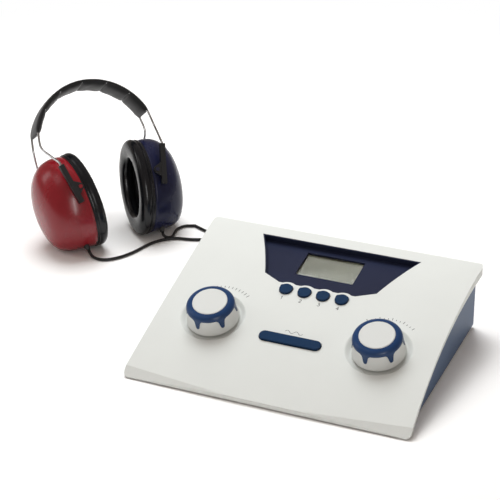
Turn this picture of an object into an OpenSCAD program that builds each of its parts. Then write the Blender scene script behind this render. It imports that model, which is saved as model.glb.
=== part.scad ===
// Desktop two-dial tone tester with a noise-excluding headset on two coiled leads.
// Millimetres, +Z up. The set stands on z = 0, and +Y points to the back of the console.

/* [Console] */
// Width of the console between its corners
console_w = 290; // [270:1:310]
// Depth of the console from front lip to rear ridge
console_d = 227; // [215:1:245]
// Height of the top face at the front lip
front_h = 5.4; // [5:0.1:7]
// Height of the top face at the rear ridge
rear_h = 72.3; // [66:0.5:80]
// How far the top face bulges over the straight line from lip to ridge
top_rise = 8.2; // [6:0.2:10]
// How far each side edge draws in at its waist
side_waist = 3.5; // [2:0.5:4]
// Wall of the cover
cover_t = 2.5; // [2:0.1:3]
// Radius of the rounded rear ridge
ridge_r = 6; // [4:0.5:8]
// Depth of the cover's rim at the front
rim_front = 4.4; // [4:0.1:4.8]
// Depth of the cover's rim at the rear
rim_rear = 9.5; // [8:0.5:12]

/* [Base] */
// How far the base's side walls stand in from the cover's corners
base_inset = 7; // [6.5:0.5:9]
// Wall of the base
base_t = 2.5; // [2:0.1:3]
// Height of the rubber feet
foot_h = 3; // [2:0.5:4]
// Diameter of a foot
foot_d = 14; // [10:1:18]

/* [Dials] */
// Distance of each dial from the middle of the console
dial_x = 85.3; // [80:0.5:92]
// Distance of the dials from the front lip
dial_y = 81.5; // [78:0.5:90]
// Diameter of the dished ring round a dial
dish_d = 66.5; // [62:0.5:70]
// Depth of the dish
dish_depth = 4; // [3:0.5:5]
// Diameter of a dial's skirt
knob_d = 52; // [48:1:54]
// Diameter of the blue crown at its widest
crown_d = 47.6; // [45:0.2:48]
// Diameter of the pale cap inside the crown
cap_d = 34.6; // [30:0.2:38]
// Height of the cap over the console's top face
knob_h = 20.6; // [18:0.5:24]
// Diameter of a dial's shaft
shaft_d = 6; // [5:0.5:6.5]

/* [Keys] */
// Distance between function keys
key_pitch = 19.4; // [18.5:0.1:21]
// Distance of the keys from the front lip
key_y = 131.2; // [128:0.2:133]
// Width of a function key
key_w = 13; // [11:0.5:13.5]
// Length of a function key along the slope
key_l = 11.4; // [10:0.2:12]
// How far a function key can be pushed in
key_travel = 1.2; // [0.8:0.1:1.5]
// How far the keys and the bar stand proud
key_proud = 2; // [1.5:0.1:3]

/* [Tone bar] */
// Length of the tone bar
bar_l = 62.6; // [56:0.2:66]
// Width of the tone bar
bar_w = 10.6; // [9:0.2:12]
// Distance of the bar from the front lip
bar_y = 70.6; // [66:0.2:76]
// How far the bar can be pushed in
bar_travel = 1.5; // [1:0.1:2]

/* [Display] */
// Width of the display recess at its rear edge
recess_w = 170; // [164:1:174]
// Width of the recess at its front corners
recess_w_front = 117.6; // [112:0.4:124]
// Depth of the recess at its rear edge
recess_depth = 7; // [6:0.5:8]
// Depth of the recess at its front edge
recess_depth_front = 3.6; // [3:0.2:4.5]
// Width of the visible screen
screen_w = 61; // [56:1:64]
// Height of the visible screen
screen_h = 37.5; // [34:0.5:39]

/* [Rear panel] */
// Height of the sockets' middle over the table
socket_z = 30; // [26:1:34]
// Distance between phone sockets
socket_pitch = 32.5; // [28:0.5:36]
// Place of the middle phone socket across the console
socket_x = -82.5; // [-86:0.5:-78]
// Bore of a phone socket
socket_bore = 6.5; // [6.4:0.05:6.6]
// Place of the power jack across the console
jack_x = 62; // [50:1:74]
// Place of the power switch across the console
switch_x = 104; // [96:1:110]
// Swing of the power rocker between off and on
rocker_swing = 16; // [12:1:18]

/* [Headset] */
// Radius of the headband over its top
band_r = 72.1; // [70:0.1:76]
// Thickness of the headband pad
band_t = 6.4; // [5.5:0.1:7.5]
// Width of the headband pad
band_w = 32.4; // [30:0.2:36]
// Half the arc that the pad covers, in degrees
band_half_arc = 71.5; // [68:0.5:74]
// Diameter of the two head wires
wire_d = 2.6; // [2:0.1:3]
// Height of a cup's rim oval
cup_h = 105.6; // [98:0.2:108]
// Width of a cup's rim oval
cup_w = 74.8; // [70:0.2:76]
// Depth of a cup's shell
cup_depth = 44; // [40:0.1:50]
// Wall of a cup's shell
shell_t = 2.2; // [1.8:0.1:2.6]
// Thickness of the ear cushion with its plate
cushion_t = 15.6; // [12:0.1:17]
// Height of the hole in the ear cushion
hole_h = 64; // [58:0.5:68]
// Width of the hole in the ear cushion
hole_w = 43.5; // [43:0.5:48]
// How far a cup can be drawn down along the wires
slide_travel = 25; // [10:1:27]

/* [Leads] */
// Diameter of a headset lead
lead_d = 3.2; // [2.8:0.1:3.4]
// Windings in a lead's coil
coil_turns = 12; // [8:1:12]
// Diameter of a coil at the middle of its turns
coil_mid_d = 38.4; // [36:0.2:40]

/* [Hidden] */

// Facets of small round parts, and of the wide arcs of the cover
$fn = 64;
wide_fn = 720;

// Clearances
slip = 0.3;            // moving plastic beside fixed plastic
run_fit = 0.05;        // shaft or pin in its bore, on the radius
flush = 0.2;           // inserts below the face that they sit in

// --- Console outline ---
chord_tilt = atan2(rear_h - front_h, console_d);
function arc_radius(z0, z1, rise) = (pow(console_d, 2) + pow(z1 - z0, 2)) / (8 * rise) + rise / 2;
function arc_mid(z0, z1, rise) =
    let (r = arc_radius(z0, z1, rise), tilt = atan2(z1 - z0, console_d))
    [console_d / 2 + sin(tilt) * (r - rise), (z0 + z1) / 2 - cos(tilt) * (r - rise)];
top_r = arc_radius(front_h, rear_h, top_rise);
top_mid = arc_mid(front_h, rear_h, top_rise);
rim_rise = top_rise + 3.2;
rim_r = arc_radius(front_h - rim_front, rear_h - rim_rear, rim_rise);
rim_mid = arc_mid(front_h - rim_front, rear_h - rim_rear, rim_rise);

// Height and slope of the top face at a distance y from the front lip
function face_z(y) = top_mid[1] + sqrt(pow(top_r, 2) - pow(y - top_mid[0], 2));
function face_tilt(y) = asin((top_mid[0] - y) / top_r);

waist_y = 100;
side_r = 1800;
rear_corner_r = 12;
front_corner_r = 5;
skirt_t = 2.2;
function side_x(y) = console_w / 2 - side_waist + pow(y - waist_y, 2) / (2 * side_r);

// --- Set layout: the headset stands left of the console and leans back ---
head_pos = [-297.9, 271.8, 49.1];
head_yaw = 51.6;
head_lean = 36.2;
cup_out = 40.3;                          // rim plane from the headset's middle
cup_tilt = 7;                            // the cups' lower ends lean inward
band_z = 58.6;                           // middle of the band's arc over the cups' middle
wire_gap = 14;                           // each wire from the band's middle line
sleeve_gap = 40.6;                       // each sleeve's axis from the cup's middle plane
sleeve_splay = 13.9;                     // the wires' straight ends against the upright
sleeve_top = [60.3, 35.3];               // where the sleeve's axis meets its upper end, [x, z]
sleeve_len = 46;
pin_at = [4.6, 8.6];                     // pivot from the rim plane and from the cup's middle
pin_d = 4.4;

// =====================================================================
// Console: cover, base and what holds them
// =====================================================================

module along_x(w) {
    translate([-w / 2, 0, 0]) rotate([90, 0, 90]) linear_extrude(w) children();
}

// Side view of everything below the top face, or below a sheet of the given thickness under it
module roof(drop = 0) {
    ridge = [console_d - ridge_r, top_mid[1] + 0.02
        + sqrt(pow(top_r - ridge_r, 2) - pow(console_d - ridge_r - top_mid[0], 2))];
    tilt = face_tilt(console_d - ridge_r);
    reach = 4 * ridge_r;
    difference() {
        intersection() {
            translate(top_mid) circle(top_r - drop, $fn = wide_fn);
            translate([drop, front_h - rim_front]) square([console_d - 2 * drop, 2 * rear_h]);
        }
        polygon([ridge, ridge + reach * [-sin(tilt), cos(tilt)],
            [console_d + reach, ridge[1] + reach], [console_d + reach, ridge[1]]]);
    }
    translate(ridge) circle(ridge_r - drop);
}

// Plan of the console, drawn in by an inset on every side
module plan(inset = 0) {
    rear_x = side_x(console_d - rear_corner_r);
    front_x = side_x(front_corner_r);
    difference() {
        translate([-console_w, inset]) square([2 * console_w, console_d - 2 * inset]);
        for (s = [-1, 1]) {
            translate([s * (console_w / 2 - side_waist + side_r), waist_y])
                circle(side_r + inset, $fn = wide_fn);
            translate([s * (console_w / 2 + side_r), -console_d])
                square([2 * side_r, 4 * console_d], center = true);
            plan_corner(s, rear_x, console_d, 1, rear_corner_r, inset);
            plan_corner(s, front_x, 0, -1, front_corner_r, inset);
        }
    }
}

module plan_corner(s, x, y, up, r, inset) {
    translate([s * (x - r), y - up * r]) difference() {
        translate([s > 0 ? 0 : -2 * r, up > 0 ? 0 : -2 * r]) square(2 * r);
        circle(r - inset);
    }
}

module on_face(x, y) {
    translate([x, y, face_z(y)]) rotate([face_tilt(y), 0, 0]) children();
}

// Screws: front pair and rear pair, [x, y, height of the joint between cover post and base boss]
screw_x = 118;
screw_places = [for (s = [-1, 1], at = [[46, 12], [176, 30]]) [s * screw_x, at[0], at[1]]];
boss_r = 4.2;
post_r = 3.6;
screw_r = 1.3;
screw_hole_r = 1.7;
screw_head_r = 2.8;
screw_head_h = 1.8;
clamp_t = 2.6;
screw_grip = 4;

dish_r = dish_d / 2;
dish_floor_r = dish_r - 6.5;
dish_steps = 8;
dish_t = cover_t + 0.2;
bush_r = 4.5;
bush_gap = 0.1;

// Outline of the dish: flat floor, then a soft S to the rim
function dish_curve(d) = [for (i = [0 : dish_steps])
    [dish_floor_r + (dish_r - dish_floor_r) * i / dish_steps,
     -dish_depth + (dish_depth + 0.06) * (1 - cos(180 * i / dish_steps)) / 2 - d]];

module dish_cut() {
    rotate_extrude() polygon(concat([[0, -dish_depth]], dish_curve(0),
        [[dish_r, 2 * dish_depth], [0, 2 * dish_depth]]));
}

module dish_shell() {
    rotate_extrude() polygon(concat([[0, -dish_depth - dish_t]], dish_curve(dish_t),
        [[dish_r + 1, 0.3 - cover_t], [dish_r + 1, dish_depth], [0, dish_depth]]));
}

// The front bevel: it runs out from nothing beside the middle strip to the corners
bevel_from = 34;
bevel_turn = 2;
bevel_pitch = 42;

module front_bevels() {
    for (s = [0, 1]) mirror([s, 0, 0])
        translate([bevel_from, 0, front_h]) rotate([bevel_pitch, bevel_turn, 0])
            translate([-10, -rim_front * 6, 0]) cube([console_w / 2, rim_front * 12, rim_front * 4]);
}

key_slot_gap = 0.45;
bar_slot_gap = 0.8;
flange_rim = 1.6;
flange_t = 1.2;
flange_z = -cover_t - slip - flange_t;
stem_l = 3.2;
switch_z = flange_z - stem_l + 0.7;
switch_h = 3.6;
key_board_z = switch_z - switch_h;
board_t = 1.6;
control_post_r = 2.4;

module top_cover() in_set() {
    color([0.93, 0.93, 0.91]) difference() {
        union() {
            intersection() {
                difference() {
                    along_x(2 * console_w) roof();
                    intersection() {
                        along_x(2 * console_w) roof(cover_t);
                        linear_extrude(2 * rear_h) plan(skirt_t);
                    }
                    along_x(2 * console_w) translate(rim_mid) circle(rim_r, $fn = wide_fn);
                }
                linear_extrude(2 * rear_h) plan();
            }
            intersection() {
                along_x(2 * console_w) roof(cover_t / 2);
                union() {
                    for (s = [-1, 1]) on_face(s * dial_x, dial_y) dish_shell();
                    for (p = screw_places) translate([p[0], p[1], p[2]]) cylinder(h = rear_h, r = post_r);
                    control_posts();
                }
            }
        }
        for (s = [-1, 1]) on_face(s * dial_x, dial_y) {
            dish_cut();
            translate([0, 0, -3 * dish_depth]) cylinder(h = 4 * dish_depth, r = bush_r + bush_gap);
        }
        front_bevels();
        on_recess() translate([0, 0, -3 * recess_depth]) linear_extrude(5 * recess_depth) recess_outline();
        for (k = [0 : 3]) on_face(key_x(k), key_y)
            translate([0, 0, -2 * cover_t]) linear_extrude(4 * cover_t) key_outline(key_slot_gap);
        on_face(0, bar_y) translate([0, 0, -2 * cover_t]) linear_extrude(4 * cover_t)
            pill(bar_l + 2 * bar_slot_gap, bar_w + 2 * bar_slot_gap);
        for (p = screw_places) translate([p[0], p[1], p[2] - 1]) cylinder(h = screw_grip + 1.5, r = screw_r);
    }
}

// Posts under the cover that carry the key board and the tone board
key_post_x = 1.5 * key_pitch + key_w / 2 + 5;
bar_post_x = bar_l / 2 + 5;

module control_posts() {
    for (s = [-1, 1]) {
        on_face(s * key_post_x, key_y) translate([0, 0, key_board_z])
            cylinder(h = -key_board_z, r = control_post_r);
        on_face(s * bar_post_x, bar_y) translate([0, 0, tone_board_z])
            cylinder(h = -tone_board_z, r = control_post_r);
    }
}

base_front = 9;
base_rear = console_d - 6.5;
base_half = console_w / 2 - base_inset;
base_sink = 0.1;
foot_in = 14;
foot_sink = 1;
foot_places = [for (s = [-1, 1], y = [base_front + 16, base_rear - foot_in]) [s * (base_half - foot_in), y]];
board_z = foot_h + base_t + 5;
standoff_r = 3;
board_size = [216, 120];
board_y = 76;
standoff_places = [for (s = [-1, 1], y = [board_y + 8, board_y + board_size[1] - 8])
    [s * (board_size[0] / 2 - 8), y]];

module base_block(inset, floor_z) {
    intersection() {
        along_x(2 * (base_half - inset)) intersection() {
            roof(cover_t + base_sink);
            translate([base_front + inset, floor_z])
                square([base_rear - base_front - 2 * inset, 2 * rear_h]);
        }
        linear_extrude(2 * rear_h) plan(skirt_t + slip);
    }
}

module base_tray() in_set() {
    wall_y = base_rear - base_t;
    color([0.34, 0.4, 0.52]) difference() {
        union() {
            difference() {
                base_block(0, foot_h);
                translate([0, 0, 0]) intersection() {
                    translate([-console_w, base_front + base_t, foot_h + base_t])
                        cube([2 * console_w, base_rear - base_front - 2 * base_t, 2 * rear_h]);
                    translate([-base_half + base_t, 0, 0])
                        cube([2 * (base_half - base_t), console_d, 3 * rear_h]);
                }
            }
            for (p = screw_places) translate([p[0], p[1], foot_h]) cylinder(h = p[2] - foot_h, r = boss_r);
            for (p = standoff_places) translate([p[0], p[1], foot_h]) cylinder(h = board_z - foot_h, r = standoff_r);
        }
        for (p = screw_places) {
            translate([p[0], p[1], 0]) cylinder(h = rear_h, r = screw_hole_r);
            translate([p[0], p[1], 0]) cylinder(h = p[2] - clamp_t, r = screw_head_r + slip);
        }
        for (f = foot_places) translate([f[0], f[1], 0]) cylinder(h = foot_h + foot_sink, r = foot_d / 2);
        for (k = [-1 : 1]) translate([socket_x + k * socket_pitch, wall_y - 1, socket_z])
            rotate([-90, 0, 0]) cylinder(h = base_t + 2, r = nose_r + bush_gap);
        translate([jack_x, wall_y - 1, socket_z]) rotate([-90, 0, 0])
            cylinder(h = base_t + 2, r = jack_nose_r + bush_gap);
        translate([switch_x, base_rear - base_t / 2, socket_z])
            cube([rocker_w + 4 * rocker_wall, 2 * base_t, rocker_l + 4 * rocker_wall - 1], center = true);
    }
}

module feet() in_set() {
    color([0.12, 0.12, 0.13]) for (f = foot_places) translate([f[0], f[1], 0]) {
        cylinder(h = 1, r1 = foot_d / 2 - 1, r2 = foot_d / 2);
        translate([0, 0, 1]) cylinder(h = foot_h + foot_sink - 1, r = foot_d / 2);
    }
}

module cover_screws() in_set() {
    color([0.7, 0.7, 0.72]) for (p = screw_places) translate([p[0], p[1], p[2] - clamp_t]) {
        difference() {
            translate([0, 0, -screw_head_h]) cylinder(h = screw_head_h, r = screw_head_r);
            translate([0, 0, -screw_head_h - 1]) cylinder(h = 2, r = 1.6, $fn = 6);
        }
        cylinder(h = clamp_t + screw_grip, r = screw_r);
    }
}

// =====================================================================
// Display
// =====================================================================

recess_y = 178;                       // the recess's middle, from the front lip
recess_top = 29.6;                    // its rear edge from that middle, along the slope
recess_corner = -29.1;                // its front corners
recess_low = -38.5;                   // its lowest edge, between the keys
recess_low_half = 40;
recess_bow = 1.2;                     // each side curves in by this much
scallop_r = 11.5;                     // the white collar round each key
bezel_wall = 1.4;
bezel_floor_t = 2;
screen_at = [-1, 1];
window_t = 1.5;
window_lap = 3;
lcd_t = 5;
lcd_size = [76, 46];
lcd_board_size = [92, 54];
lcd_post_r = 2.4;
floor_tilt = atan2(recess_depth - recess_depth_front, recess_top - recess_low);

module on_recess() {
    on_face(0, recess_y) children();
}

// The recess's floor leans back a little from the top face
module on_floor() {
    on_recess() translate([0, recess_low, -recess_depth_front]) rotate([-floor_tilt, 0, 0])
        translate([0, -recess_low, 0]) children();
}

// Half of the recess's edge: a bowed side, then straight down to the keys
function recess_side(inset) = [for (i = [0 : 6]) let (u = i / 6)
    [(recess_w / 2 - 1.54 * inset) * (1 - u) + (recess_w_front / 2 - 0.75 * inset) * u
        - recess_bow * 4 * u * (1 - u),
     (recess_top - inset) * (1 - u) + (recess_corner + 0.6 * inset) * u]];

module recess_outline(inset = 0) {
    half = concat(recess_side(inset), [[recess_low_half - 0.4 * inset, recess_low + inset]]);
    flip = [for (i = [len(half) - 1 : -1 : 0]) [-half[i][0], half[i][1]]];
    difference() {
        polygon(concat(half, flip));
        for (k = [0 : 3]) translate([key_x(k), (key_y - recess_y) / cos(face_tilt(recess_y))])
            circle(scallop_r + inset);
    }
}

module above_floor(drop) {
    on_floor() translate([-console_w / 2, -console_d / 2, -drop]) cube([console_w, console_d, rear_h]);
}

module display_bezel() in_set() {
    color([0.14, 0.18, 0.33]) difference() {
        union() {
            intersection() {
                on_recess() translate([0, 0, -3 * recess_depth]) linear_extrude(4 * recess_depth)
                    recess_outline();
                along_x(console_w) roof(flush);
                above_floor(bezel_floor_t);
            }
            for (x = [-1, 1], y = [-1, 1]) on_floor() translate([screen_at[0], screen_at[1],
                -bezel_floor_t - window_t - lcd_t]) translate([x * (lcd_board_size[0] / 2 - 4),
                y * (lcd_board_size[1] / 2 - 4), 0]) cylinder(h = lcd_t + window_t + bezel_floor_t / 2, r = lcd_post_r);
        }
        intersection() {
            on_recess() translate([0, 0, -3 * recess_depth]) linear_extrude(5 * recess_depth)
                recess_outline(bezel_wall);
            above_floor(0);
        }
        on_floor() translate([screen_at[0], screen_at[1], 0])
            cube([screen_w, screen_h, 4 * bezel_floor_t], center = true);
    }
}

module display_window() in_set() {
    color([0.8, 0.85, 0.85, 0.35]) on_floor() translate([screen_at[0], screen_at[1],
        -bezel_floor_t - window_t / 2])
        cube([screen_w + 2 * window_lap, screen_h + 2 * window_lap, window_t], center = true);
}

module lcd_module() in_set() {
    color([0.5, 0.51, 0.45]) on_floor() translate([screen_at[0], screen_at[1],
        -bezel_floor_t - window_t - lcd_t / 2])
        cube([lcd_size[0], lcd_size[1], lcd_t], center = true);
}

module lcd_board() in_set() {
    color([0.1, 0.35, 0.2]) on_floor() translate([screen_at[0], screen_at[1],
        -bezel_floor_t - window_t - lcd_t - board_t / 2])
        cube([lcd_board_size[0], lcd_board_size[1], board_t], center = true);
}

// =====================================================================
// Boards
// =====================================================================

module main_board() in_set() {
    color([0.1, 0.35, 0.2]) translate([-board_size[0] / 2, board_y, board_z])
        cube([board_size[0], board_size[1], board_t]);
}

// Chips, capacitors, the output transformers and the board's connectors
module board_parts() in_set() {
    color([0.16, 0.16, 0.18]) translate([0, board_y, board_z + board_t]) {
        for (c = [[-70, 30, 22, 22, 3], [-20, 34, 30, 12, 4], [30, 30, 18, 18, 3], [-40, 74, 12, 12, 3],
                [20, 78, 34, 12, 8], [70, 62, 26, 30, 24], [-84, 84, 20, 24, 18]])
            translate([c[0] - c[2] / 2, c[1] - c[3] / 2, 0]) cube([c[2], c[3], c[4]]);
        for (c = [[-58, 60, 5, 14], [-44, 52, 4, 12], [0, 62, 6, 16], [46, 52, 5, 14]])
            translate([c[0], c[1], 0]) cylinder(h = c[3], r = c[2]);
    }
}

key_board_size = [2 * key_post_x + 8, 16];
tone_board_z = key_board_z - (bar_travel - key_travel);
tone_board_size = [2 * bar_post_x + 8, 13];

module control_boards() in_set() {
    color([0.1, 0.35, 0.2]) {
        on_face(0, key_y) translate([0, 0, key_board_z - board_t / 2])
            cube([key_board_size[0], key_board_size[1], board_t], center = true);
        on_face(0, bar_y) translate([0, 0, tone_board_z - board_t / 2])
            cube([tone_board_size[0], tone_board_size[1], board_t], center = true);
    }
}

// =====================================================================
// Dials
// =====================================================================

knob_r = knob_d / 2;
crown_r = crown_d / 2;
cap_r = cap_d / 2;
knob_low = -1.2;                      // the skirt's lower edge, inside the dish
shoulder_z = knob_h - 5.4;
knob_wall = 2;
hub_r = 5.5;
shaft_top = shoulder_z;
shaft_low = -dish_depth - dish_t - 6;
prong_len = 10;
prong_proud = 0.5;
prongs = 6;
dial_turn = 19;                       // how far the crown's prongs stand from square

// The skirt flares towards its lower edge
function skirt_at(z) = crown_r - 0.3
    + (knob_r - crown_r + 0.3) * pow(max(0, shoulder_z - z) / (shoulder_z - knob_low), 1.6);

module knob_body() {
    steps = 10;
    skirt = [for (i = [0 : steps]) let (z = knob_low + (shoulder_z - knob_low) * i / steps) [skirt_at(z), z]];
    lining = [for (i = [steps : -1 : 0]) let (z = knob_low + (shoulder_z - knob_wall - knob_low) * i / steps)
        [skirt_at(z) - knob_wall, z]];
    difference() {
        rotate_extrude() polygon(concat(skirt,
            [[cap_r, shoulder_z], [cap_r, knob_h - 0.6], [cap_r - 0.6, knob_h], [0, knob_h],
             [0, shoulder_z + knob_wall], [cap_r - knob_wall, shoulder_z + knob_wall],
             [cap_r - knob_wall, shoulder_z - knob_wall]], lining));
        crown_prongs();
    }
    difference() {
        translate([0, 0, 2]) cylinder(h = shoulder_z + knob_wall - 2, r = hub_r);
        cylinder(h = shaft_top, r = shaft_d / 2);
    }
}

module crown_prongs() {
    band = [for (i = [0 : 8]) let (z = shoulder_z - prong_len - 1 + (prong_len + 1) * i / 8) [skirt_at(z), z]];
    intersection() {
        rotate_extrude() polygon(concat([for (p = band) p + [prong_proud, 0]],
            [for (i = [8 : -1 : 0]) band[i] - [1, 0]]));
        for (k = [0 : prongs - 1]) rotate([0, 0, 30 + k * 360 / prongs]) rotate([90, 0, 0])
            linear_extrude(2 * knob_r) polygon([[5.2, shoulder_z + 1], [5.2, shoulder_z - 0.2],
                [3.6, shoulder_z - 1.4], [2.9, shoulder_z - 3.4], [1.9, shoulder_z - prong_len + 1.4],
                [1.1, shoulder_z - prong_len + 0.3], [0, shoulder_z - prong_len],
                [-1.1, shoulder_z - prong_len + 0.3], [-1.9, shoulder_z - prong_len + 1.4],
                [-2.9, shoulder_z - 3.4], [-3.6, shoulder_z - 1.4], [-5.2, shoulder_z - 0.2],
                [-5.2, shoulder_z + 1]]);
    }
}

module knob_crown() {
    steps = 8;
    arc = [for (i = [0 : steps]) [cap_r + (crown_r + 0.2 - cap_r) * cos(90 * i / steps),
        shoulder_z + (knob_h - 0.4 - shoulder_z) * sin(90 * i / steps)]];
    rotate_extrude() polygon(concat([[cap_r, shoulder_z]], arc));
    crown_prongs();
}

module dial_shaft() {
    translate([0, 0, shaft_low]) cylinder(h = shaft_top - shaft_low, r = shaft_d / 2);
}

module level_knob() in_set() {
    color([0.93, 0.93, 0.91]) on_face(-dial_x, dial_y) rotate([0, 0, dial_turn]) knob_body();
}

module level_knob_crown() in_set() {
    color([0.04, 0.26, 0.6]) on_face(-dial_x, dial_y) rotate([0, 0, dial_turn]) knob_crown();
}

module level_shaft() in_set() {
    color([0.7, 0.7, 0.72]) on_face(-dial_x, dial_y) dial_shaft();
}

module frequency_knob() in_set() {
    color([0.93, 0.93, 0.91]) on_face(dial_x, dial_y) rotate([0, 0, dial_turn]) knob_body();
}

module frequency_knob_crown() in_set() {
    color([0.04, 0.26, 0.6]) on_face(dial_x, dial_y) rotate([0, 0, dial_turn]) knob_crown();
}

module frequency_shaft() in_set() {
    color([0.7, 0.7, 0.72]) on_face(dial_x, dial_y) dial_shaft();
}

encoder_size = 14;
encoder_h = 8;
nut_h = 2;
nut_across = 12.7;

module encoders() in_set() {
    seat = -dish_depth - dish_t;
    color([0.55, 0.56, 0.58]) for (s = [-1, 1]) on_face(s * dial_x, dial_y) difference() {
        union() {
            translate([-encoder_size / 2, -encoder_size / 2, seat - encoder_h])
                cube([encoder_size, encoder_size, encoder_h]);
            translate([0, 0, seat]) cylinder(h = dish_t + nut_h + 0.8, r = bush_r);
        }
        translate([0, 0, shaft_low - slip]) cylinder(h = rear_h, r = shaft_d / 2 + run_fit);
    }
}

module encoder_nuts() in_set() {
    color([0.75, 0.75, 0.77]) for (s = [-1, 1]) on_face(s * dial_x, dial_y)
        translate([0, 0, -dish_depth]) difference() {
            cylinder(h = nut_h, r = nut_across / 2, $fn = 6);
            translate([0, 0, -1]) cylinder(h = nut_h + 2, r = bush_r);
        }
}

// =====================================================================
// Keys and tone bar
// =====================================================================

function key_x(k) = (k - 1.5) * key_pitch;

// Flat at the back, round at the front
module key_outline(grow = 0) {
    r = key_w / 2 + grow;
    c = 2.4 + grow;
    back = key_l - key_w / 2 + grow;
    shift = key_w / 2 - key_l / 2;
    translate([0, shift]) {
        circle(r);
        translate([-r, 0]) square([2 * r, back - c]);
        translate([-r + c, 0]) square([2 * (r - c), back]);
        for (s = [-1, 1]) translate([s * (r - c), back - c]) circle(c);
    }
}

module pill(l, w) {
    square([l - w, w], center = true);
    for (s = [-1, 1]) translate([s * (l - w) / 2, 0]) circle(w / 2);
}

stem_r = 1.6;

module function_key(k) {
    color([0.12, 0.22, 0.42]) on_face(key_x(k), key_y) {
        translate([0, 0, flange_z]) linear_extrude(key_proud - flange_z) key_outline();
        translate([0, 0, flange_z]) linear_extrude(flange_t) key_outline(flange_rim);
        translate([0, 0, flange_z - stem_l]) cylinder(h = stem_l + 1, r = stem_r);
    }
}

module function_key_1() in_set() function_key(0);
module function_key_2() in_set() function_key(1);
module function_key_3() in_set() function_key(2);
module function_key_4() in_set() function_key(3);

module push_switch(size, h, floor_t) {
    difference() {
        translate([-size / 2, -size / 2, 0]) cube([size, size, h]);
        translate([0, 0, floor_t]) cylinder(h = h, r = stem_r + slip);
    }
}

module key_switches() in_set() {
    color([0.2, 0.2, 0.22]) for (k = [0 : 3]) on_face(key_x(k), key_y)
        translate([0, 0, key_board_z]) push_switch(7, switch_h, 0.6);
}

bar_stem_x = 20;

module tone_bar() in_set() {
    color([0.12, 0.2, 0.4]) on_face(0, bar_y) {
        translate([0, 0, flange_z]) linear_extrude(key_proud - flange_z) pill(bar_l, bar_w);
        translate([0, 0, flange_z]) linear_extrude(flange_t) pill(bar_l + 2 * flange_rim, bar_w + 2 * flange_rim);
        for (s = [-1, 1]) translate([s * bar_stem_x, 0, flange_z - stem_l])
            cylinder(h = stem_l + 1, r = stem_r);
    }
}

module tone_switches() in_set() {
    color([0.2, 0.2, 0.22]) for (s = [-1, 1]) on_face(s * bar_stem_x, bar_y)
        translate([0, 0, tone_board_z]) push_switch(8, switch_h + bar_travel - key_travel, 0.6);
}

// =====================================================================
// Rear panel
// =====================================================================

nose_r = 4.5;
socket_ring_r = 7;
socket_ring_t = 2;
socket_size = 15;
socket_len = 28;
nose_out = 3;

module along_back(x, y, z) {
    translate([x, y, z]) rotate([-90, 0, 0]) children();
}

module phone_sockets() in_set() {
    color([0.13, 0.13, 0.14]) for (k = [-1 : 1])
        along_back(socket_x + k * socket_pitch, base_rear - base_t, socket_z) difference() {
            union() {
                translate([-socket_size / 2, -socket_size / 2, -socket_len])
                    cube([socket_size, socket_size, socket_len]);
                cylinder(h = base_t + nose_out, r = nose_r);
                translate([0, 0, base_t]) cylinder(h = socket_ring_t, r = socket_ring_r);
            }
            translate([0, 0, -socket_len + 1.5]) cylinder(h = 2 * socket_len, r = socket_bore / 2);
        }
}

jack_nose_r = 4.6;
jack_bore_r = 2.9;
jack_len = 12;

module power_jack() in_set() {
    color([0.13, 0.13, 0.14]) along_back(jack_x, base_rear - base_t, socket_z) {
        difference() {
            union() {
                translate([-6, -6, -jack_len]) cube([12, 12, jack_len]);
                cylinder(h = base_t, r = jack_nose_r);
                translate([0, 0, base_t]) cylinder(h = 1.2, r = jack_nose_r + 1.4);
            }
            translate([0, 0, -jack_len + 2]) cylinder(h = 2 * jack_len, r = jack_bore_r);
        }
        translate([0, 0, -jack_len + 1]) cylinder(h = jack_len - 5, r = 1);
    }
}

rocker_w = 9;
rocker_l = 17;
rocker_wall = 1.2;
rocker_pin_r = 1.2;
rocker_in = -1.2;                     // pivot from the panel's outer face

// The rocker turns about X; drawn in the off position, lower end out
module power_rocker() in_set() {
    h = rocker_l / 2 - 0.4;
    color([0.1, 0.1, 0.11]) translate([switch_x, base_rear + rocker_in, socket_z])
        rotate([-rocker_swing / 2, 0, 0]) difference() {
            along_x(rocker_w - 2 * slip) polygon([[4.6, h], [3.4, 0], [4.6, -h], [0, -h + 1.2],
                [-3.4, -3], [-3.4, 3], [0, h - 1.2]]);
            translate([-rocker_w, 0, 0]) rotate([0, 90, 0]) cylinder(h = 2 * rocker_w, r = rocker_pin_r + run_fit);
        }
}

module power_switch() in_set() {
    depth = 14;
    hole_l = rocker_l + 1.6;
    color([0.13, 0.13, 0.14]) translate([switch_x, base_rear, socket_z]) {
        difference() {
            union() {
                translate([0, 0.8, 0]) cube([rocker_w + 6 * rocker_wall, 1.6, hole_l + 5 * rocker_wall], center = true);
                translate([0, -depth / 2, 0])
                    cube([rocker_w + 2 * rocker_wall, depth, hole_l + 2 * rocker_wall - 0.6], center = true);
            }
            translate([0, rocker_wall, 0]) cube([rocker_w, 2 * depth - 2 * rocker_wall, hole_l], center = true);
        }
        translate([-rocker_w / 2 - 0.5, rocker_in, 0]) rotate([0, 90, 0])
            cylinder(h = rocker_w + 1, r = rocker_pin_r);
    }
}

// =====================================================================
// Swept tubes
// =====================================================================

function unit(v) = v / norm(v);
function ease(u) = let (c = max(0, min(1, u))) c * c * (3 - 2 * c);
function sum_of(v, i = 0) = i < len(v) ? v[i] + sum_of(v, i + 1) : 0;

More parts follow.
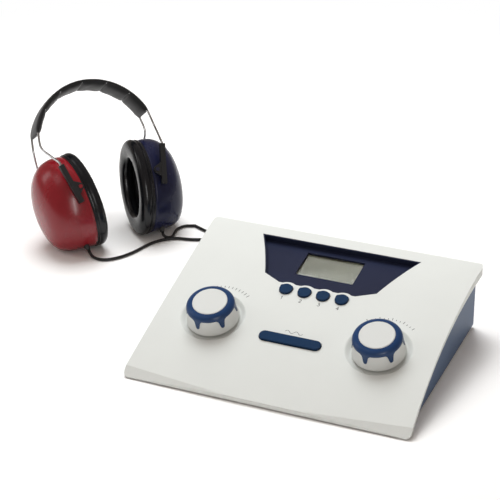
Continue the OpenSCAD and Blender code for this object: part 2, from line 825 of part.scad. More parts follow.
// A smooth curve through hand-chosen points, with a number of steps between two of them
function curve_point(a, b, c, d, t) = 0.5 * (2 * b + (c - a) * t
    + (2 * a - 5 * b + 4 * c - d) * t * t + (3 * b - a - 3 * c + d) * t * t * t);
function smooth_path(p, steps) = let (n = len(p)) concat([for (i = [0 : n - 2], k = [0 : steps - 1])
    curve_point(p[max(i - 1, 0)], p[i], p[i + 1], p[min(i + 2, n - 1)], k / steps)], [p[n - 1]]);
function path_length(p) = sum_of([for (i = [1 : len(p) - 1]) norm(p[i] - p[i - 1])]);

function heading(p, i, first, last) =
    i == 0 ? unit(first == undef ? p[1] - p[0] : first)
    : i == len(p) - 1 ? unit(last == undef ? p[i] - p[i - 1] : last)
    : unit(unit(p[i + 1] - p[i]) + unit(p[i] - p[i - 1]));

module tube(p, r, sides, up = [0, 0, 1], first = undef, last = undef) {
    n = len(p);
    rings = [for (i = [0 : n - 1]) let (t = heading(p, i, first, last), a = unit(cross(up, t)), b = cross(t, a))
        for (k = [0 : sides - 1]) p[i] + r * (cos(360 * k / sides) * a + sin(360 * k / sides) * b)];
    walls = [for (i = [0 : n - 2], k = [0 : sides - 1]) let (a = i * sides + k, b = i * sides + (k + 1) % sides)
        each [[a, a + sides, b], [b, a + sides, b + sides]]];
    caps = [for (k = [1 : sides - 2]) each [[0, k, k + 1],
        [(n - 1) * sides, (n - 1) * sides + k + 1, (n - 1) * sides + k]]];
    polyhedron(rings, concat(walls, caps), convexity = 10);
}

// =====================================================================
// Headset
// =====================================================================

// Headset frame: x to the left ear's cup, y away from the wearer's face, z up the band
module in_headset() {
    translate(head_pos) rotate([-head_lean, 0, head_yaw]) children();
}

// Cup frame: z out of the rim plane, y up the cup, x towards the rear wire
module in_cup(side) {
    mirror([side < 0 ? 1 : 0, 0, 0]) translate([cup_out, 0, 0]) rotate([0, cup_tilt, 0])
        rotate([90, 0, 90]) children();
}

// Sleeve frame: z up along the wire's straight end
module in_sleeve(side, row) {
    mirror([side < 0 ? 1 : 0, 0, 0]) translate([sleeve_top[0], row * sleeve_gap, sleeve_top[1]])
        rotate([0, sleeve_splay, 0]) children();
}

pad_parts = 6;                        // welded stretches of the pad
pad_steps = 4;
pad_weld = 1.2;                       // how deep a weld pinches the pad
pad_section = [[-1, 0.3], [-0.93, 0.75], [-0.55, 1], [0, 1.04], [0.55, 1], [0.93, 0.75],
    [1, 0.3], [0.96, 0], [0, -0.02], [-0.96, 0]];

// The pad: smooth outside, crowned and welded into stretches inside
pad_n = pad_parts * pad_steps;
pad_points = [for (i = [0 : pad_n]) let (
        a = -band_half_arc + 2 * band_half_arc * i / pad_n,
        weld = pow(abs(cos(180 * i / pad_steps)), 6),
        thick = band_t - (i == 0 || i == pad_n ? 0 : pad_weld * weld))
    for (q = pad_section) let (r = band_r - thick * q[1])
        [r * sin(a), q[0] * band_w / 2, band_z + r * cos(a)]];

// Middle of the whole set on the table, which is the origin of the model: the console is its
// right and front edge, the headband its left and back edge
set_left = min([for (p = pad_points) (head_pos + head_turn(p))[0]]);
set_back = max([for (p = pad_points) (head_pos + head_turn(p))[1]]);
set_mid = [(console_w / 2 + set_left) / 2, set_back / 2, 0];

module in_set() {
    translate(-set_mid) children();
}

module headband_pad() in_set() {
    n = pad_n;
    m = len(pad_section);
    walls = [for (i = [0 : n - 1], k = [0 : m - 1]) let (a = i * m + k, b = i * m + (k + 1) % m)
        each [[a, a + m, b], [b, a + m, b + m]]];
    caps = [for (k = [1 : m - 2]) each [[0, k, k + 1], [n * m, n * m + k + 1, n * m + k]]];
    color([0.1, 0.1, 0.11]) in_headset() difference() {
        polyhedron(pad_points, concat(walls, caps), convexity = 10);
        for (row = [-1, 1]) wire_tube(row, 7);
    }
}

// One wire spans the head: along the band, a bend over each cup, a straight end in each sleeve
wire_r = wire_d / 2;
wire_arc_r = band_r - 2.6;
wire_bend = [67.8, 63.6];               // where the wire turns outward, [x, z]
sleeve_dir = [sin(sleeve_splay), 0, cos(sleeve_splay)];
wire_in = sleeve_len - 6;             // straight wire inside the sleeve at rest

function wire_half(row) = let (top = [sleeve_top[0], row * sleeve_gap, sleeve_top[1]],
        arc_end = [wire_arc_r * sin(band_half_arc), row * wire_gap, band_z + wire_arc_r * cos(band_half_arc)])
    concat([for (a = [0 : 12 : 60]) [wire_arc_r * sin(a), row * wire_gap, band_z + wire_arc_r * cos(a)]],
        smooth_path([arc_end, [wire_bend[0] - 0.2, row * (wire_gap + 0.2), wire_bend[1] + 6],
            [wire_bend[0], row * (wire_gap + 1.6), wire_bend[1]],
            [wire_bend[0] - 1.2, row * (wire_gap + 6.5), wire_bend[1] - 6.5],
            top + [0.2, -row * 3.6, 2] + 4 * sleeve_dir, top + 1 * sleeve_dir], 3));

module wire_tube(row, cut = 0) {
    whole = wire_half(row);
    half = [for (i = [0 : cut > 0 ? cut : len(whole) - 1]) whole[i]];
    n = len(half);
    path = concat([for (i = [n - 1 : -1 : 1]) [-half[i][0], half[i][1], half[i][2]]], half);
    if (cut > 0) tube(path, 0.98 * wire_r, 8, [0, -1, 0]);
    else tube(path, 0.98 * wire_r, 8, [0, -1, 0], [-sleeve_dir[0], 0, sleeve_dir[2]],
        [-sleeve_dir[0], 0, -sleeve_dir[2]]);
}

module head_wire(row) {
    color([0.78, 0.78, 0.8]) in_headset() {
        wire_tube(row);
        for (s = [-1, 1]) in_sleeve(s, row) translate([0, 0, -wire_in]) cylinder(h = wire_in + 1, r = wire_r);
    }
}

module front_wire() in_set() head_wire(-1);
module rear_wire() in_set() head_wire(1);

// A sleeve slides on the wire's end; its lug carries the cup's pivot pin
sleeve_w = 5.8;
sleeve_flat = 4.4;                    // its other side, across the cup
lug_in = 2;                           // lug's inner face from the sleeve's axis
lug_out = 1.6;
lug_r = pin_d / 2 + 1.7;
cup_side = [cos(cup_tilt), -sin(cup_tilt)];
cup_up = [sin(cup_tilt), cos(cup_tilt)];
pin_pos = [cup_out, 0] + pin_at[0] * cup_side + pin_at[1] * cup_up;
pin_rel = pin_pos - sleeve_top;
pin_x = pin_rel[0] * cos(sleeve_splay) - pin_rel[1] * sin(sleeve_splay);
pin_z = pin_rel[0] * sin(sleeve_splay) + pin_rel[1] * cos(sleeve_splay);

module sleeve(side, row) {
    in_sleeve(side, row) difference() {
        union() {
            translate([-sleeve_w / 2, -sleeve_flat / 2, -sleeve_len])
                cube([sleeve_w, sleeve_flat, sleeve_len]);
            rotate([90, 0, 0]) translate([0, 0, row > 0 ? -lug_out : -lug_in]) linear_extrude(lug_in + lug_out) {
                polygon([[0, pin_z + 11], [pin_x - 2.6, pin_z + 3.2], [pin_x - 3, pin_z - 2.6], [0, pin_z - 9]]);
                translate([pin_x, pin_z]) circle(lug_r);
            }
        }
        translate([0, 0, -sleeve_len - 1]) cylinder(h = sleeve_len + 2, r = wire_r + run_fit);
        translate([pin_x, 0, pin_z]) rotate([90, 0, 0]) cylinder(h = 20, r = pin_d / 2 + run_fit, center = true);
    }
}

module sleeves(side) {
    color([0.1, 0.1, 0.11]) in_headset() for (row = [-1, 1]) sleeve(side, row);
}

cup_a = cup_w / 2;
cup_b = cup_h / 2;
cup_power = 3;                        // roundness of the shell's side view
shell_sides = 40;

// The shell's middle line rises, then sinks and leans to the rear, with its depth s from 0 to 1
function shell_mid(s) = [9 * s * s, 10 * s - 15 * s * s];
function shell_ring(phi, t) = let (
        s = pow(sin(phi), 2 / cup_power),
        k = pow(cos(phi), 2 / cup_power),
        mid = shell_mid(s))
    [for (j = [0 : shell_sides - 1]) let (a = 360 * j / shell_sides)
        [mid[0] + (cup_a - t) * k * sin(a), mid[1] + (cup_b - t) * k * cos(a), (cup_depth - t) * s]];

module shell() {
    outer = [0, 2, 6, 13, 23, 34, 46, 58, 69, 79, 85];
    inner = [0, 4, 12, 24, 38, 53, 68, 81];
    m = shell_sides;
    no = len(outer);
    ni = len(inner);
    points = concat([for (phi = outer) each shell_ring(phi, 0)], [for (phi = inner) each shell_ring(phi, shell_t)],
        [concat(shell_mid(1), [cup_depth]), concat(shell_mid(1), [cup_depth - shell_t])]);
    top = m * (no + ni);
    faces = concat(
        [for (i = [0 : no - 2], j = [0 : m - 1]) let (a = i * m + j, b = i * m + (j + 1) % m)
            each [[a, b, a + m], [b, b + m, a + m]]],
        [for (j = [0 : m - 1]) [(no - 1) * m + j, (no - 1) * m + (j + 1) % m, top]],
        [for (i = [0 : ni - 2], j = [0 : m - 1]) let (a = (no + i) * m + j, b = (no + i) * m + (j + 1) % m)
            each [[a, a + m, b], [b, a + m, b + m]]],
        [for (j = [0 : m - 1]) [(no + ni - 1) * m + j, top + 1, (no + ni - 1) * m + (j + 1) % m]],
        [for (j = [0 : m - 1]) let (k = (j + 1) % m) each [[j, no * m + j, k], [k, no * m + j, no * m + k]]]);
    difference() {
        polyhedron(points, faces, convexity = 6);
        cup_pins();
        gland();
    }
}

function oval(a, b, n) = [for (j = [0 : n - 1]) [a * sin(360 * j / n), b * cos(360 * j / n)]];

plate_t = 2;
hole_a = hole_w / 2;
hole_b = hole_h / 2;

module cushion_plate() {
    translate([0, 0, -plate_t]) linear_extrude(plate_t) difference() {
        polygon(oval(cup_a - 0.4, cup_b - 0.4, 60));
        polygon(oval(hole_a + 1, hole_b + 1, 60));
    }
}

// Cross-section of the ear cushion: [share of the way from hole to outside, share of its thickness]
cushion_section = [[0.06, 0], [0, 0.3], [0.03, 0.75], [0.2, 0.96], [0.55, 1], [0.86, 0.95], [0.99, 0.72],
    [0.94, 0.47], [1, 0.25], [0.95, 0]];
cushion_sides = 24;

module ear_cushion() {
    m = len(cushion_section);
    n = cushion_sides;
    thick = cushion_t - plate_t;
    points = [for (j = [0 : n - 1]) let (a = 360 * j / n) for (q = cushion_section) [
        (hole_a + (cup_a + 0.6 - hole_a) * q[0]) * sin(a),
        (hole_b + (cup_b + 1.4 - hole_b) * q[0]) * cos(a),
        -plate_t - thick * q[1]]];
    faces = [for (j = [0 : n - 1], k = [0 : m - 1]) let (
            a = j * m + k, b = j * m + (k + 1) % m,
            c = ((j + 1) % n) * m + k, d = ((j + 1) % n) * m + (k + 1) % m)
        each [[a, c, b], [b, c, d]]];
    polyhedron(points, faces, convexity = 6);
}

phone_r = 20;
phone_h = 18;
foam_h = 14;

module earphone() {
    difference() {
        translate([0, 0, -1]) cylinder(h = phone_h + 1, r = phone_r);
        for (a = [0 : 60 : 300]) rotate([0, 0, a]) translate([5, 0, -2]) cylinder(h = 2, r = 1.2);
    }
    translate([0, 0, phone_h]) cylinder(h = 3, r = phone_r - 6);
}

module foam() {
    difference() {
        linear_extrude(foam_h) polygon(oval(cup_a - 7, cup_b - 8.5, 48));
        translate([0, 0, -1]) cylinder(h = foam_h + 2, r = phone_r);
    }
}

// The gland leaves the shell at its foot, a little forward
gland_z = 11.5;
gland_off = 9;
gland_r = 3;
gland_len = 5;
gland_base = 1.6;
gland_in = 5;
gland_turn = 84;                      // from straight forward towards straight down
gland_dir = [-cos(gland_turn), -sin(gland_turn), 0];
gland_spot = let (s = gland_z / cup_depth, k = pow(1 - pow(s, cup_power), 1 / cup_power))
    [shell_mid(s)[0] - cup_a * k * sin(gland_off), shell_mid(s)[1] - cup_b * k * cos(gland_off), gland_z];

module gland() {
    translate(gland_spot) rotate([90, 0, gland_turn - 90]) {
        translate([0, 0, -gland_in]) cylinder(h = gland_in + gland_base, r = gland_r);
        translate([0, 0, gland_base]) cylinder(h = gland_len - gland_base, r1 = gland_r, r2 = lead_d / 2 + 0.6);
    }
}

module cup_pins() {
    for (row = [-1, 1]) translate([row * (cup_a - 2.6), pin_at[1], pin_at[0]]) rotate([0, row * 90, 0])
        cylinder(h = sleeve_gap + lug_out + 0.6 - cup_a + 2.6, r = pin_d / 2);
}

red = [0.55, 0.08, 0.12];
navy = [0.1, 0.1, 0.25];
black = [0.08, 0.08, 0.09];

module right_sleeves() in_set() sleeves(-1);
module right_shell() in_set() in_headset() in_cup(-1) color(red) shell();
module right_pivot_pins() in_set() in_headset() in_cup(-1) color(red) cup_pins();
module right_cushion_plate() in_set() in_headset() in_cup(-1) color(black) cushion_plate();
module right_ear_cushion() in_set() in_headset() in_cup(-1) color(black) ear_cushion();
module right_earphone() in_set() in_headset() in_cup(-1) color([0.2, 0.2, 0.22]) earphone();
module right_foam() in_set() in_headset() in_cup(-1) color([0.15, 0.15, 0.16]) foam();
module right_gland() in_set() in_headset() in_cup(-1) color(black) gland();

module left_sleeves() in_set() sleeves(1);
module left_shell() in_set() in_headset() in_cup(1) color(navy) shell();
module left_pivot_pins() in_set() in_headset() in_cup(1) color(navy) cup_pins();
module left_cushion_plate() in_set() in_headset() in_cup(1) color(black) cushion_plate();
module left_ear_cushion() in_set() in_headset() in_cup(1) color(black) ear_cushion();
module left_earphone() in_set() in_headset() in_cup(1) color([0.2, 0.2, 0.22]) earphone();
module left_foam() in_set() in_headset() in_cup(1) color([0.15, 0.15, 0.16]) foam();
module left_gland() in_set() in_headset() in_cup(1) color(black) gland();

// =====================================================================
// Leads: from each cup's gland over the table to a coil, then up to its plug
// =====================================================================

lead_r = lead_d / 2;
coil_pitch = lead_d + 0.5;
coil_layers = 4;
coil_rings = 24;                      // rings in each turn
layer_turns = coil_turns / coil_layers;
coil_out = (coil_mid_d + layer_turns * coil_pitch) / 2;
coil_z = lead_r + (coil_layers - 1) * coil_pitch;
right_coil_at = [-158, 274];
left_coil_at = [-75, 300];
left_extra = 0.25;                    // the left coil leaves a quarter turn later

// A coil winds clockwise, inward and outward by turns, and climbs where it reverses
function coil_point(at, t) = let (leg = min(coil_layers - 1, floor(t / layer_turns)), u = t / layer_turns - leg,
        r = coil_out - (leg % 2 == 0 ? u : 1 - u) * layer_turns * coil_pitch,
        climb = sum_of([for (k = [1 : coil_layers - 1]) ease(2 * (t - k * layer_turns) + 0.5)]))
    [at[0] + r * sin(360 * t), at[1] + r * cos(360 * t), lead_r + coil_pitch * climb];
function coil_path(at, extra) = let (n = round(coil_rings * (coil_turns + extra)), a = 360 * extra,
        end_r = coil_out + extra * coil_pitch)
    concat([[at[0] - 1.2 * lead_d, at[1] + coil_out, lead_r]],
        [for (i = [0 : n]) coil_point(at, i / coil_rings)],
        [[at[0] + end_r * sin(a) + 1.2 * lead_d * cos(a), at[1] + end_r * cos(a) - 1.2 * lead_d * sin(a), coil_z]]);
function least_gap(p) = min([for (i = [0 : len(p) - 1], j = [i + 12 : len(p) - 1]) norm(p[i] - p[j])]) - lead_d;

// A place or a direction in a cup, taken into the set
function in_cup_dir(side, d) =
    [side * (d[2] * cos(cup_tilt) + d[1] * sin(cup_tilt)), d[0], d[1] * cos(cup_tilt) - d[2] * sin(cup_tilt)];
function head_turn(q) = let (y = q[1] * cos(head_lean) + q[2] * sin(head_lean))
    [q[0] * cos(head_yaw) - y * sin(head_yaw), q[0] * sin(head_yaw) + y * cos(head_yaw),
     q[2] * cos(head_lean) - q[1] * sin(head_lean)];
function cup_place(side, p) = head_pos + head_turn([side * cup_out, 0, 0] + in_cup_dir(side, p));
function gland_tip(side) = cup_place(side, gland_spot + gland_len * gland_dir);
function gland_way(side) = head_turn(in_cup_dir(side, gland_dir));

right_join = [-250, 245, lead_r];
right_join_way = [0.3, 0.95, 0];
left_join = [-218, 321.5, lead_r];
left_join_way = [0.95, -0.3, 0];
plug_end = base_rear + 47.5;
right_plug_x = socket_x - socket_pitch;
left_plug_x = socket_x + socket_pitch;

module lead(p, first, last) {
    color([0.12, 0.12, 0.13]) tube(p, lead_r, 8, [0, 0, 1], unit(first), unit(last));
}

function drop_start(side) = gland_tip(side) + 1.1 * lead_d * gland_way(side);

module right_lead_drop() in_set() lead(concat([gland_tip(-1)], smooth_path([drop_start(-1),
    [-290.5, 209.9, 2.3], [-286.5, 208.2, 1.6], [-279.8, 206.8, 1.6], [-271.5, 209.2, 1.6],
    [-262, 218.5, 1.6], [-254.5, 232, 1.6], right_join], 1)), gland_way(-1), right_join_way);

module left_lead_drop() in_set() lead(concat([gland_tip(1)], smooth_path([drop_start(1),
    [-236.2, 281.4, 3], [-233.2, 282.4, 2], [-230.9, 284.9, 1.6], [-230, 288.5, 1.6],
    [-231.6, 296.5, 1.6], [-232.8, 306.5, 1.6], [-228.6, 316.3, 1.6], left_join], 1)), gland_way(1), left_join_way);

module right_lead_run() in_set() lead(concat(smooth_path([right_join, [-247.2, 255, 1.6], [-242, 267.5, 1.6],
    [-233.5, 278, 1.6], [-222.5, 285, 1.6], [-208, 288.2, 1.6], [-190, right_coil_at[1] + coil_out - 4.5, lead_r],
    coil_path(right_coil_at, 0)[0]], 2), []), right_join_way, [1, 0, 0]);

module left_lead_run() in_set() lead(smooth_path([left_join, [-205, 315.6, 1.6], [-190, 310, 1.6],
    [-170, 307.5, 1.6], [-148, 310, 1.6], [-125, 316, 1.6], [-100, 322.8, 1.6],
    coil_path(left_coil_at, left_extra)[0]], 2), left_join_way, [1, 0, 0]);

module coil(at, extra) {
    p = coil_path(at, extra);
    a = 360 * extra;
    color([0.12, 0.12, 0.13]) tube(p, lead_r, 6, [0, 0, 1], [1, 0, 0], [cos(a), -sin(a), 0]);
}

module right_lead_coil() in_set() coil(right_coil_at, 0);
module left_lead_coil() in_set() coil(left_coil_at, left_extra);

module right_lead_tail() in_set() {
    p = coil_path(right_coil_at, 0);
    start = p[len(p) - 1];
    lead(smooth_path([start, start + [11, 0, -0.5], [-134, 296.5, 13.4],
        [-125, 290.5, 16.8], [-118.4, 283, 22], [right_plug_x - 0.5, 275.4, 27.6],
        [right_plug_x, plug_end, socket_z]], 2), [1, 0, 0], [0, -1, 0]);
}

module left_lead_tail() in_set() {
    p = coil_path(left_coil_at, left_extra);
    start = p[len(p) - 1];
    lead(smooth_path([start, start + [0.1, -6, 1.2], [left_plug_x - 0.1, 282.5, 19.4],
        [left_plug_x, 275.2, 26.4], [left_plug_x, plug_end, socket_z]], 2),
        [0, -1, 0], [0, -1, 0]);
}

// Plug: contact rod in the socket, grip, then a sleeve that lets the lead bend
rod_d = 6.35;
rod_len = 24;
grip_r = 5.6;
grip_len = 27;

module plug(x) {
    face = base_rear + nose_out;
    color([0.12, 0.12, 0.13]) along_back(x, face, socket_z) {
        translate([0, 0, 2 - rod_len]) cylinder(h = rod_len - 2, r = rod_d / 2);
        translate([0, 0, -rod_len]) cylinder(h = 2, r1 = rod_d / 2 - 1.4, r2 = rod_d / 2);
        cylinder(h = 1.5, r1 = grip_r - 1, r2 = grip_r);
        translate([0, 0, 1.5]) cylinder(h = grip_len - 1.5, r = grip_r);
        translate([0, 0, grip_len]) cylinder(h = 2, r1 = grip_r, r2 = 3.4);
        translate([0, 0, grip_len + 2]) cylinder(h = plug_end - face - grip_len - 2, r1 = 3.4, r2 = lead_r + 0.5);
    }
}

module right_plug() in_set() plug(right_plug_x);
module left_plug() in_set() plug(left_plug_x);

echo(coil_least_gap = least_gap(coil_path(left_coil_at, left_extra)));

top_cover();
base_tray();
feet();
cover_screws();
display_bezel();
display_window();
lcd_module();
lcd_board();
main_board();
board_parts();
control_boards();
level_knob();
level_knob_crown();
level_shaft();
frequency_knob();
frequency_knob_crown();
frequency_shaft();
encoders();
encoder_nuts();
function_key_1();
function_key_2();
function_key_3();
function_key_4();
key_switches();
tone_bar();
tone_switches();
phone_sockets();
power_jack();
power_switch();
power_rocker();
headband_pad();
front_wire();
rear_wire();
right_sleeves();
right_shell();
right_pivot_pins();
right_cushion_plate();
right_ear_cushion();
right_earphone();
right_foam();
right_gland();
left_sleeves();
left_shell();
left_pivot_pins();
left_cushion_plate();
left_ear_cushion();
left_earphone();
left_foam();
left_gland();
right_lead_drop();
right_lead_run();
right_lead_coil();
right_lead_tail();
right_plug();
left_lead_drop();
left_lead_run();
left_lead_coil();
left_lead_tail();
left_plug();
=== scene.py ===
import math
import bpy
import numpy as np
from mathutils import Matrix, Vector, noise


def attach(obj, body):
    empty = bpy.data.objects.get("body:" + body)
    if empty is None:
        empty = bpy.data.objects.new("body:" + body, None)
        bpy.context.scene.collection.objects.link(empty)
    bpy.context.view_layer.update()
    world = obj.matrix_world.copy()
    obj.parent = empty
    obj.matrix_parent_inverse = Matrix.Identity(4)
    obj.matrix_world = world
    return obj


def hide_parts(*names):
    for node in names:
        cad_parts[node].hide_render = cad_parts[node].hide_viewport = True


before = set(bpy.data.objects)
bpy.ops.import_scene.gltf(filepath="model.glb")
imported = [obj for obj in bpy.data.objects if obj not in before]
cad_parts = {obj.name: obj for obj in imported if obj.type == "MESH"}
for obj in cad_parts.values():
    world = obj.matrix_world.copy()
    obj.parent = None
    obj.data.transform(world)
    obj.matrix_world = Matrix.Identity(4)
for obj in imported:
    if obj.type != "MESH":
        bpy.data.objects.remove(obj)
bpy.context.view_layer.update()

scene = bpy.context.scene
scene.view_settings.view_transform = "Standard"

# ---------------------------------------------------------------- camera
AZ, EL, ROLL = (math.radians(v) for v in (23.68, 26.96, -0.69))
back = Vector((math.sin(AZ) * math.cos(EL), -math.cos(AZ) * math.cos(EL), math.sin(EL)))
right = Vector((math.cos(AZ), math.sin(AZ), 0))
up = back.cross(right)
r_ax = math.cos(ROLL) * right + math.sin(ROLL) * up
u_ax = -math.sin(ROLL) * right + math.cos(ROLL) * up
cam_data = bpy.data.cameras.new("camera")
cam = bpy.data.objects.new("camera", cam_data)
scene.collection.objects.link(cam)
cam_data.sensor_width = 36
cam_data.lens = 115.236
rot = Matrix((r_ax, u_ax, back)).transposed().to_4x4()
cam.matrix_world = Matrix.Translation(Vector((-0.014506, 0.110251, 0)) + 1.76625 * back) @ rot
scene.camera = cam

# ---------------------------------------------------------------- places, in millimetres as in the part
MID = np.array([-122.854, 181.739, 0.0])
HEAD_POS = np.array([-297.9, 271.8, 49.1])
YAW, LEAN, TILT, SPLAY = (math.radians(v) for v in (51.6, 36.2, 7, 13.9))
CUP_OUT = 40.3
BAND_R, BAND_T, BAND_W, BAND_HALF, BAND_Z = 72.1, 6.4, 32.4, 71.5, 58.6
WIRE_R, WIRE_ARC = 1.3, 72.1 - 2.6
LEAD_D = 3.2
CONSOLE_D, FRONT_H, REAR_H, TOP_RISE = 227.0, 5.4, 72.3, 8.2


def spot(p):
    """Console millimetres to the row frame in metres."""
    return (np.asarray(p, float) - MID) / 1000


def head(p):
    """A place in the headset, x across it and z up its middle, in console millimetres."""
    p = np.asarray(p, float)
    y = p[..., 1] * math.cos(LEAN) + p[..., 2] * math.sin(LEAN)
    z = p[..., 2] * math.cos(LEAN) - p[..., 1] * math.sin(LEAN)
    return HEAD_POS + np.stack([p[..., 0] * math.cos(YAW) - y * math.sin(YAW),
                                p[..., 0] * math.sin(YAW) + y * math.cos(YAW), z], -1)


def cup(side, p):
    """A place in a cup: x towards the rear wire, y up the cup, z out of the rim plane."""
    p = np.asarray(p, float)
    x = side * (CUP_OUT + p[..., 2] * math.cos(TILT) + p[..., 1] * math.sin(TILT))
    z = p[..., 1] * math.cos(TILT) - p[..., 2] * math.sin(TILT)
    return head(np.stack([x, p[..., 0], z], -1))


def unit(v):
    v = np.asarray(v, float)
    return v / np.linalg.norm(v)


def smooth_path(p, steps):
    """A smooth curve through the points, with that many steps between two."""
    p = [np.asarray(q, float) for q in p]
    out = []
    n = len(p)
    for i in range(n - 1):
        a = p[i - 1] if i > 0 else 2 * p[0] - p[1]
        b, c = p[i], p[i + 1]
        d = p[i + 2] if i + 2 < n else 2 * p[-1] - p[-2]
        for k in range(steps):
            t = k / steps
            out.append(0.5 * (2 * b + (c - a) * t + (2 * a - 5 * b + 4 * c - d) * t ** 2
                              + (3 * b - a - 3 * c + d) * t ** 3))
    return out + [p[-1]]


def make(name, verts, faces, smooth=True):
    """A mesh object in the row frame, in metres."""
    me = bpy.data.meshes.new(name)
    me.from_pydata([tuple(map(float, v)) for v in verts], [], [tuple(map(int, f)) for f in faces])
    me.validate()
    me.update()
    if smooth:
        me.polygons.foreach_set("use_smooth", [True] * len(me.polygons))
    ob = bpy.data.objects.new(name, me)
    scene.collection.objects.link(ob)
    return ob


def grid(n, m, close_n=False, close_m=True, start=0):
    """Quads over n rings of m points."""
    out = []
    for i in range(n if close_n else n - 1):
        for k in range(m if close_m else m - 1):
            a, b = i * m + k, i * m + (k + 1) % m
            c, d = ((i + 1) % n) * m + k, ((i + 1) % n) * m + (k + 1) % m
            out.append((start + a, start + b, start + d, start + c))
    return out


def sweep(name, path, radius, sides=16, first=None, last=None):
    """A round tube along a path in the row frame; the frame is carried along, so it doesn't twist."""
    p = np.array(path)
    n = len(p)
    tang = np.empty_like(p)
    tang[1:-1] = p[2:] - p[:-2]
    tang[0] = p[1] - p[0] if first is None else first
    tang[-1] = p[-1] - p[-2] if last is None else last
    tang /= np.linalg.norm(tang, axis=1)[:, None]
    a = np.cross([0, 0, 1], tang[0])
    a = unit(a if np.linalg.norm(a) > 1e-3 else np.cross([1, 0, 0], tang[0]))
    verts = []
    for i in range(n):
        a = unit(a - np.dot(a, tang[i]) * tang[i])
        b = np.cross(tang[i], a)
        for k in range(sides):
            w = 2 * math.pi * k / sides
            verts.append(p[i] + radius * (math.cos(w) * a + math.sin(w) * b))
    faces = [f[::-1] for f in grid(n, sides)]
    faces.append(tuple(range(sides)))
    faces.append(tuple(reversed(range((n - 1) * sides, n * sides))))
    return make(name, verts, [f[::-1] for f in faces])


# ---------------------------------------------------------------- leads
BASE_REAR = CONSOLE_D - 6.5
SOCKET_Z, SOCKET_X, SOCKET_PITCH = 30.0, -82.5, 32.5
PLUG_END = BASE_REAR + 47.5
COIL_TURNS, COIL_MID, LAYERS = 12, 38.4, 4
PITCH = LEAD_D + 0.5
LAYER_TURNS = COIL_TURNS / LAYERS
COIL_OUT = (COIL_MID + LAYER_TURNS * PITCH) / 2
COIL_Z = LEAD_D / 2 + (LAYERS - 1) * PITCH


def ease(u):
    c = max(0.0, min(1.0, u))
    return c * c * (3 - 2 * c)


def coil_point(at, t):
    """A place on a coil after t turns: it winds inward and outward by turns, and climbs between layers."""
    leg = min(LAYERS - 1, math.floor(t / LAYER_TURNS))
    u = t / LAYER_TURNS - leg
    r = COIL_OUT - (u if leg % 2 == 0 else 1 - u) * LAYER_TURNS * PITCH
    climb = sum(ease(2 * (t - k * LAYER_TURNS) + 0.5) for k in range(1, LAYERS))
    w = 2 * math.pi * t
    return [at[0] + r * math.sin(w), at[1] + r * math.cos(w), LEAD_D / 2 + PITCH * climb]


def coil_path(at, extra, rings=48):
    n = round(rings * (COIL_TURNS + extra))
    a = 2 * math.pi * extra
    end_r = COIL_OUT + extra * PITCH
    s, c = math.sin(a), math.cos(a)
    return ([[at[0] - 1.2 * LEAD_D, at[1] + COIL_OUT, LEAD_D / 2]]
            + [coil_point(at, i / rings) for i in range(n + 1)]
            + [[at[0] + end_r * s + 1.2 * LEAD_D * c, at[1] + end_r * c - 1.2 * LEAD_D * s, COIL_Z]])


GLAND_Z, GLAND_OFF, GLAND_TURN, GLAND_LEN = 11.5, math.radians(9), math.radians(84), 5
CUP_A, CUP_B, CUP_DEPTH, CUP_POWER = 37.4, 52.8, 44.0, 3.0


def shell_mid(s):
    return np.array([9 * s * s, 10 * s - 15 * s * s])


gland_dir = np.array([-math.cos(GLAND_TURN), -math.sin(GLAND_TURN), 0])
gs = GLAND_Z / CUP_DEPTH
gk = (1 - gs ** CUP_POWER) ** (1 / CUP_POWER)
gland_spot = np.array([shell_mid(gs)[0] - CUP_A * gk * math.sin(GLAND_OFF),
                       shell_mid(gs)[1] - CUP_B * gk * math.cos(GLAND_OFF), GLAND_Z])


def gland(side):
    """The tip of a cord gland and the way it points."""
    tip = cup(side, gland_spot + GLAND_LEN * gland_dir)
    return tip, unit(cup(side, gland_spot + (GLAND_LEN + 1) * gland_dir) - tip)


RIGHT_COIL, LEFT_COIL = (-158, 274), (-75, 300)
right_join, left_join = [-250, 245, 1.6], [-218, 321.5, 1.6]
LEFT_EXTRA = 0.25                   # the left coil's further part of a turn
LEAST_STEP = 0.35                   # points of a lead nearer than this are dropped
LEAD_PARTS = ("drop", "run", "coil", "tail")
# A path's list runs from the cup: out of the gland, along the table, round the coil, up to the plug
routes = {}
tip, way = gland(-1)
drop = smooth_path([tip + 1.1 * LEAD_D * way, [-290.5, 209.9, 2.3], [-286.5, 208.2, 1.6],
                    [-279.8, 206.8, 1.6], [-271.5, 209.2, 1.6], [-262, 218.5, 1.6], [-254.5, 232, 1.6],
                    right_join], 6)
c = coil_path(RIGHT_COIL, 0)
run = smooth_path([right_join, [-247.2, 255, 1.6], [-242, 267.5, 1.6], [-233.5, 278, 1.6], [-222.5, 285, 1.6],
                   [-208, 288.2, 1.6], [-190, RIGHT_COIL[1] + COIL_OUT - 4.5, 1.6], c[0]], 8)
s = np.array(c[-1])
right_plug_x = SOCKET_X - SOCKET_PITCH
tail = smooth_path([s, s + [11, 0, -0.5], [-134, 296.5, 13.4], [-125, 290.5, 16.8], [-118.4, 283, 22],
                    [right_plug_x - 0.5, 275.4, 27.6], [right_plug_x, PLUG_END, SOCKET_Z]], 6)
routes["right"] = ([tip], drop, run, c, tail)
tip, way = gland(1)
drop = smooth_path([tip + 1.1 * LEAD_D * way, [-236.2, 281.4, 3.0], [-233.2, 282.4, 2.0],
                    [-230.9, 284.9, 1.6], [-230, 288.5, 1.6], [-231.6, 296.5, 1.6], [-232.8, 306.5, 1.6],
                    [-228.6, 316.3, 1.6], left_join], 6)
c = coil_path(LEFT_COIL, LEFT_EXTRA)
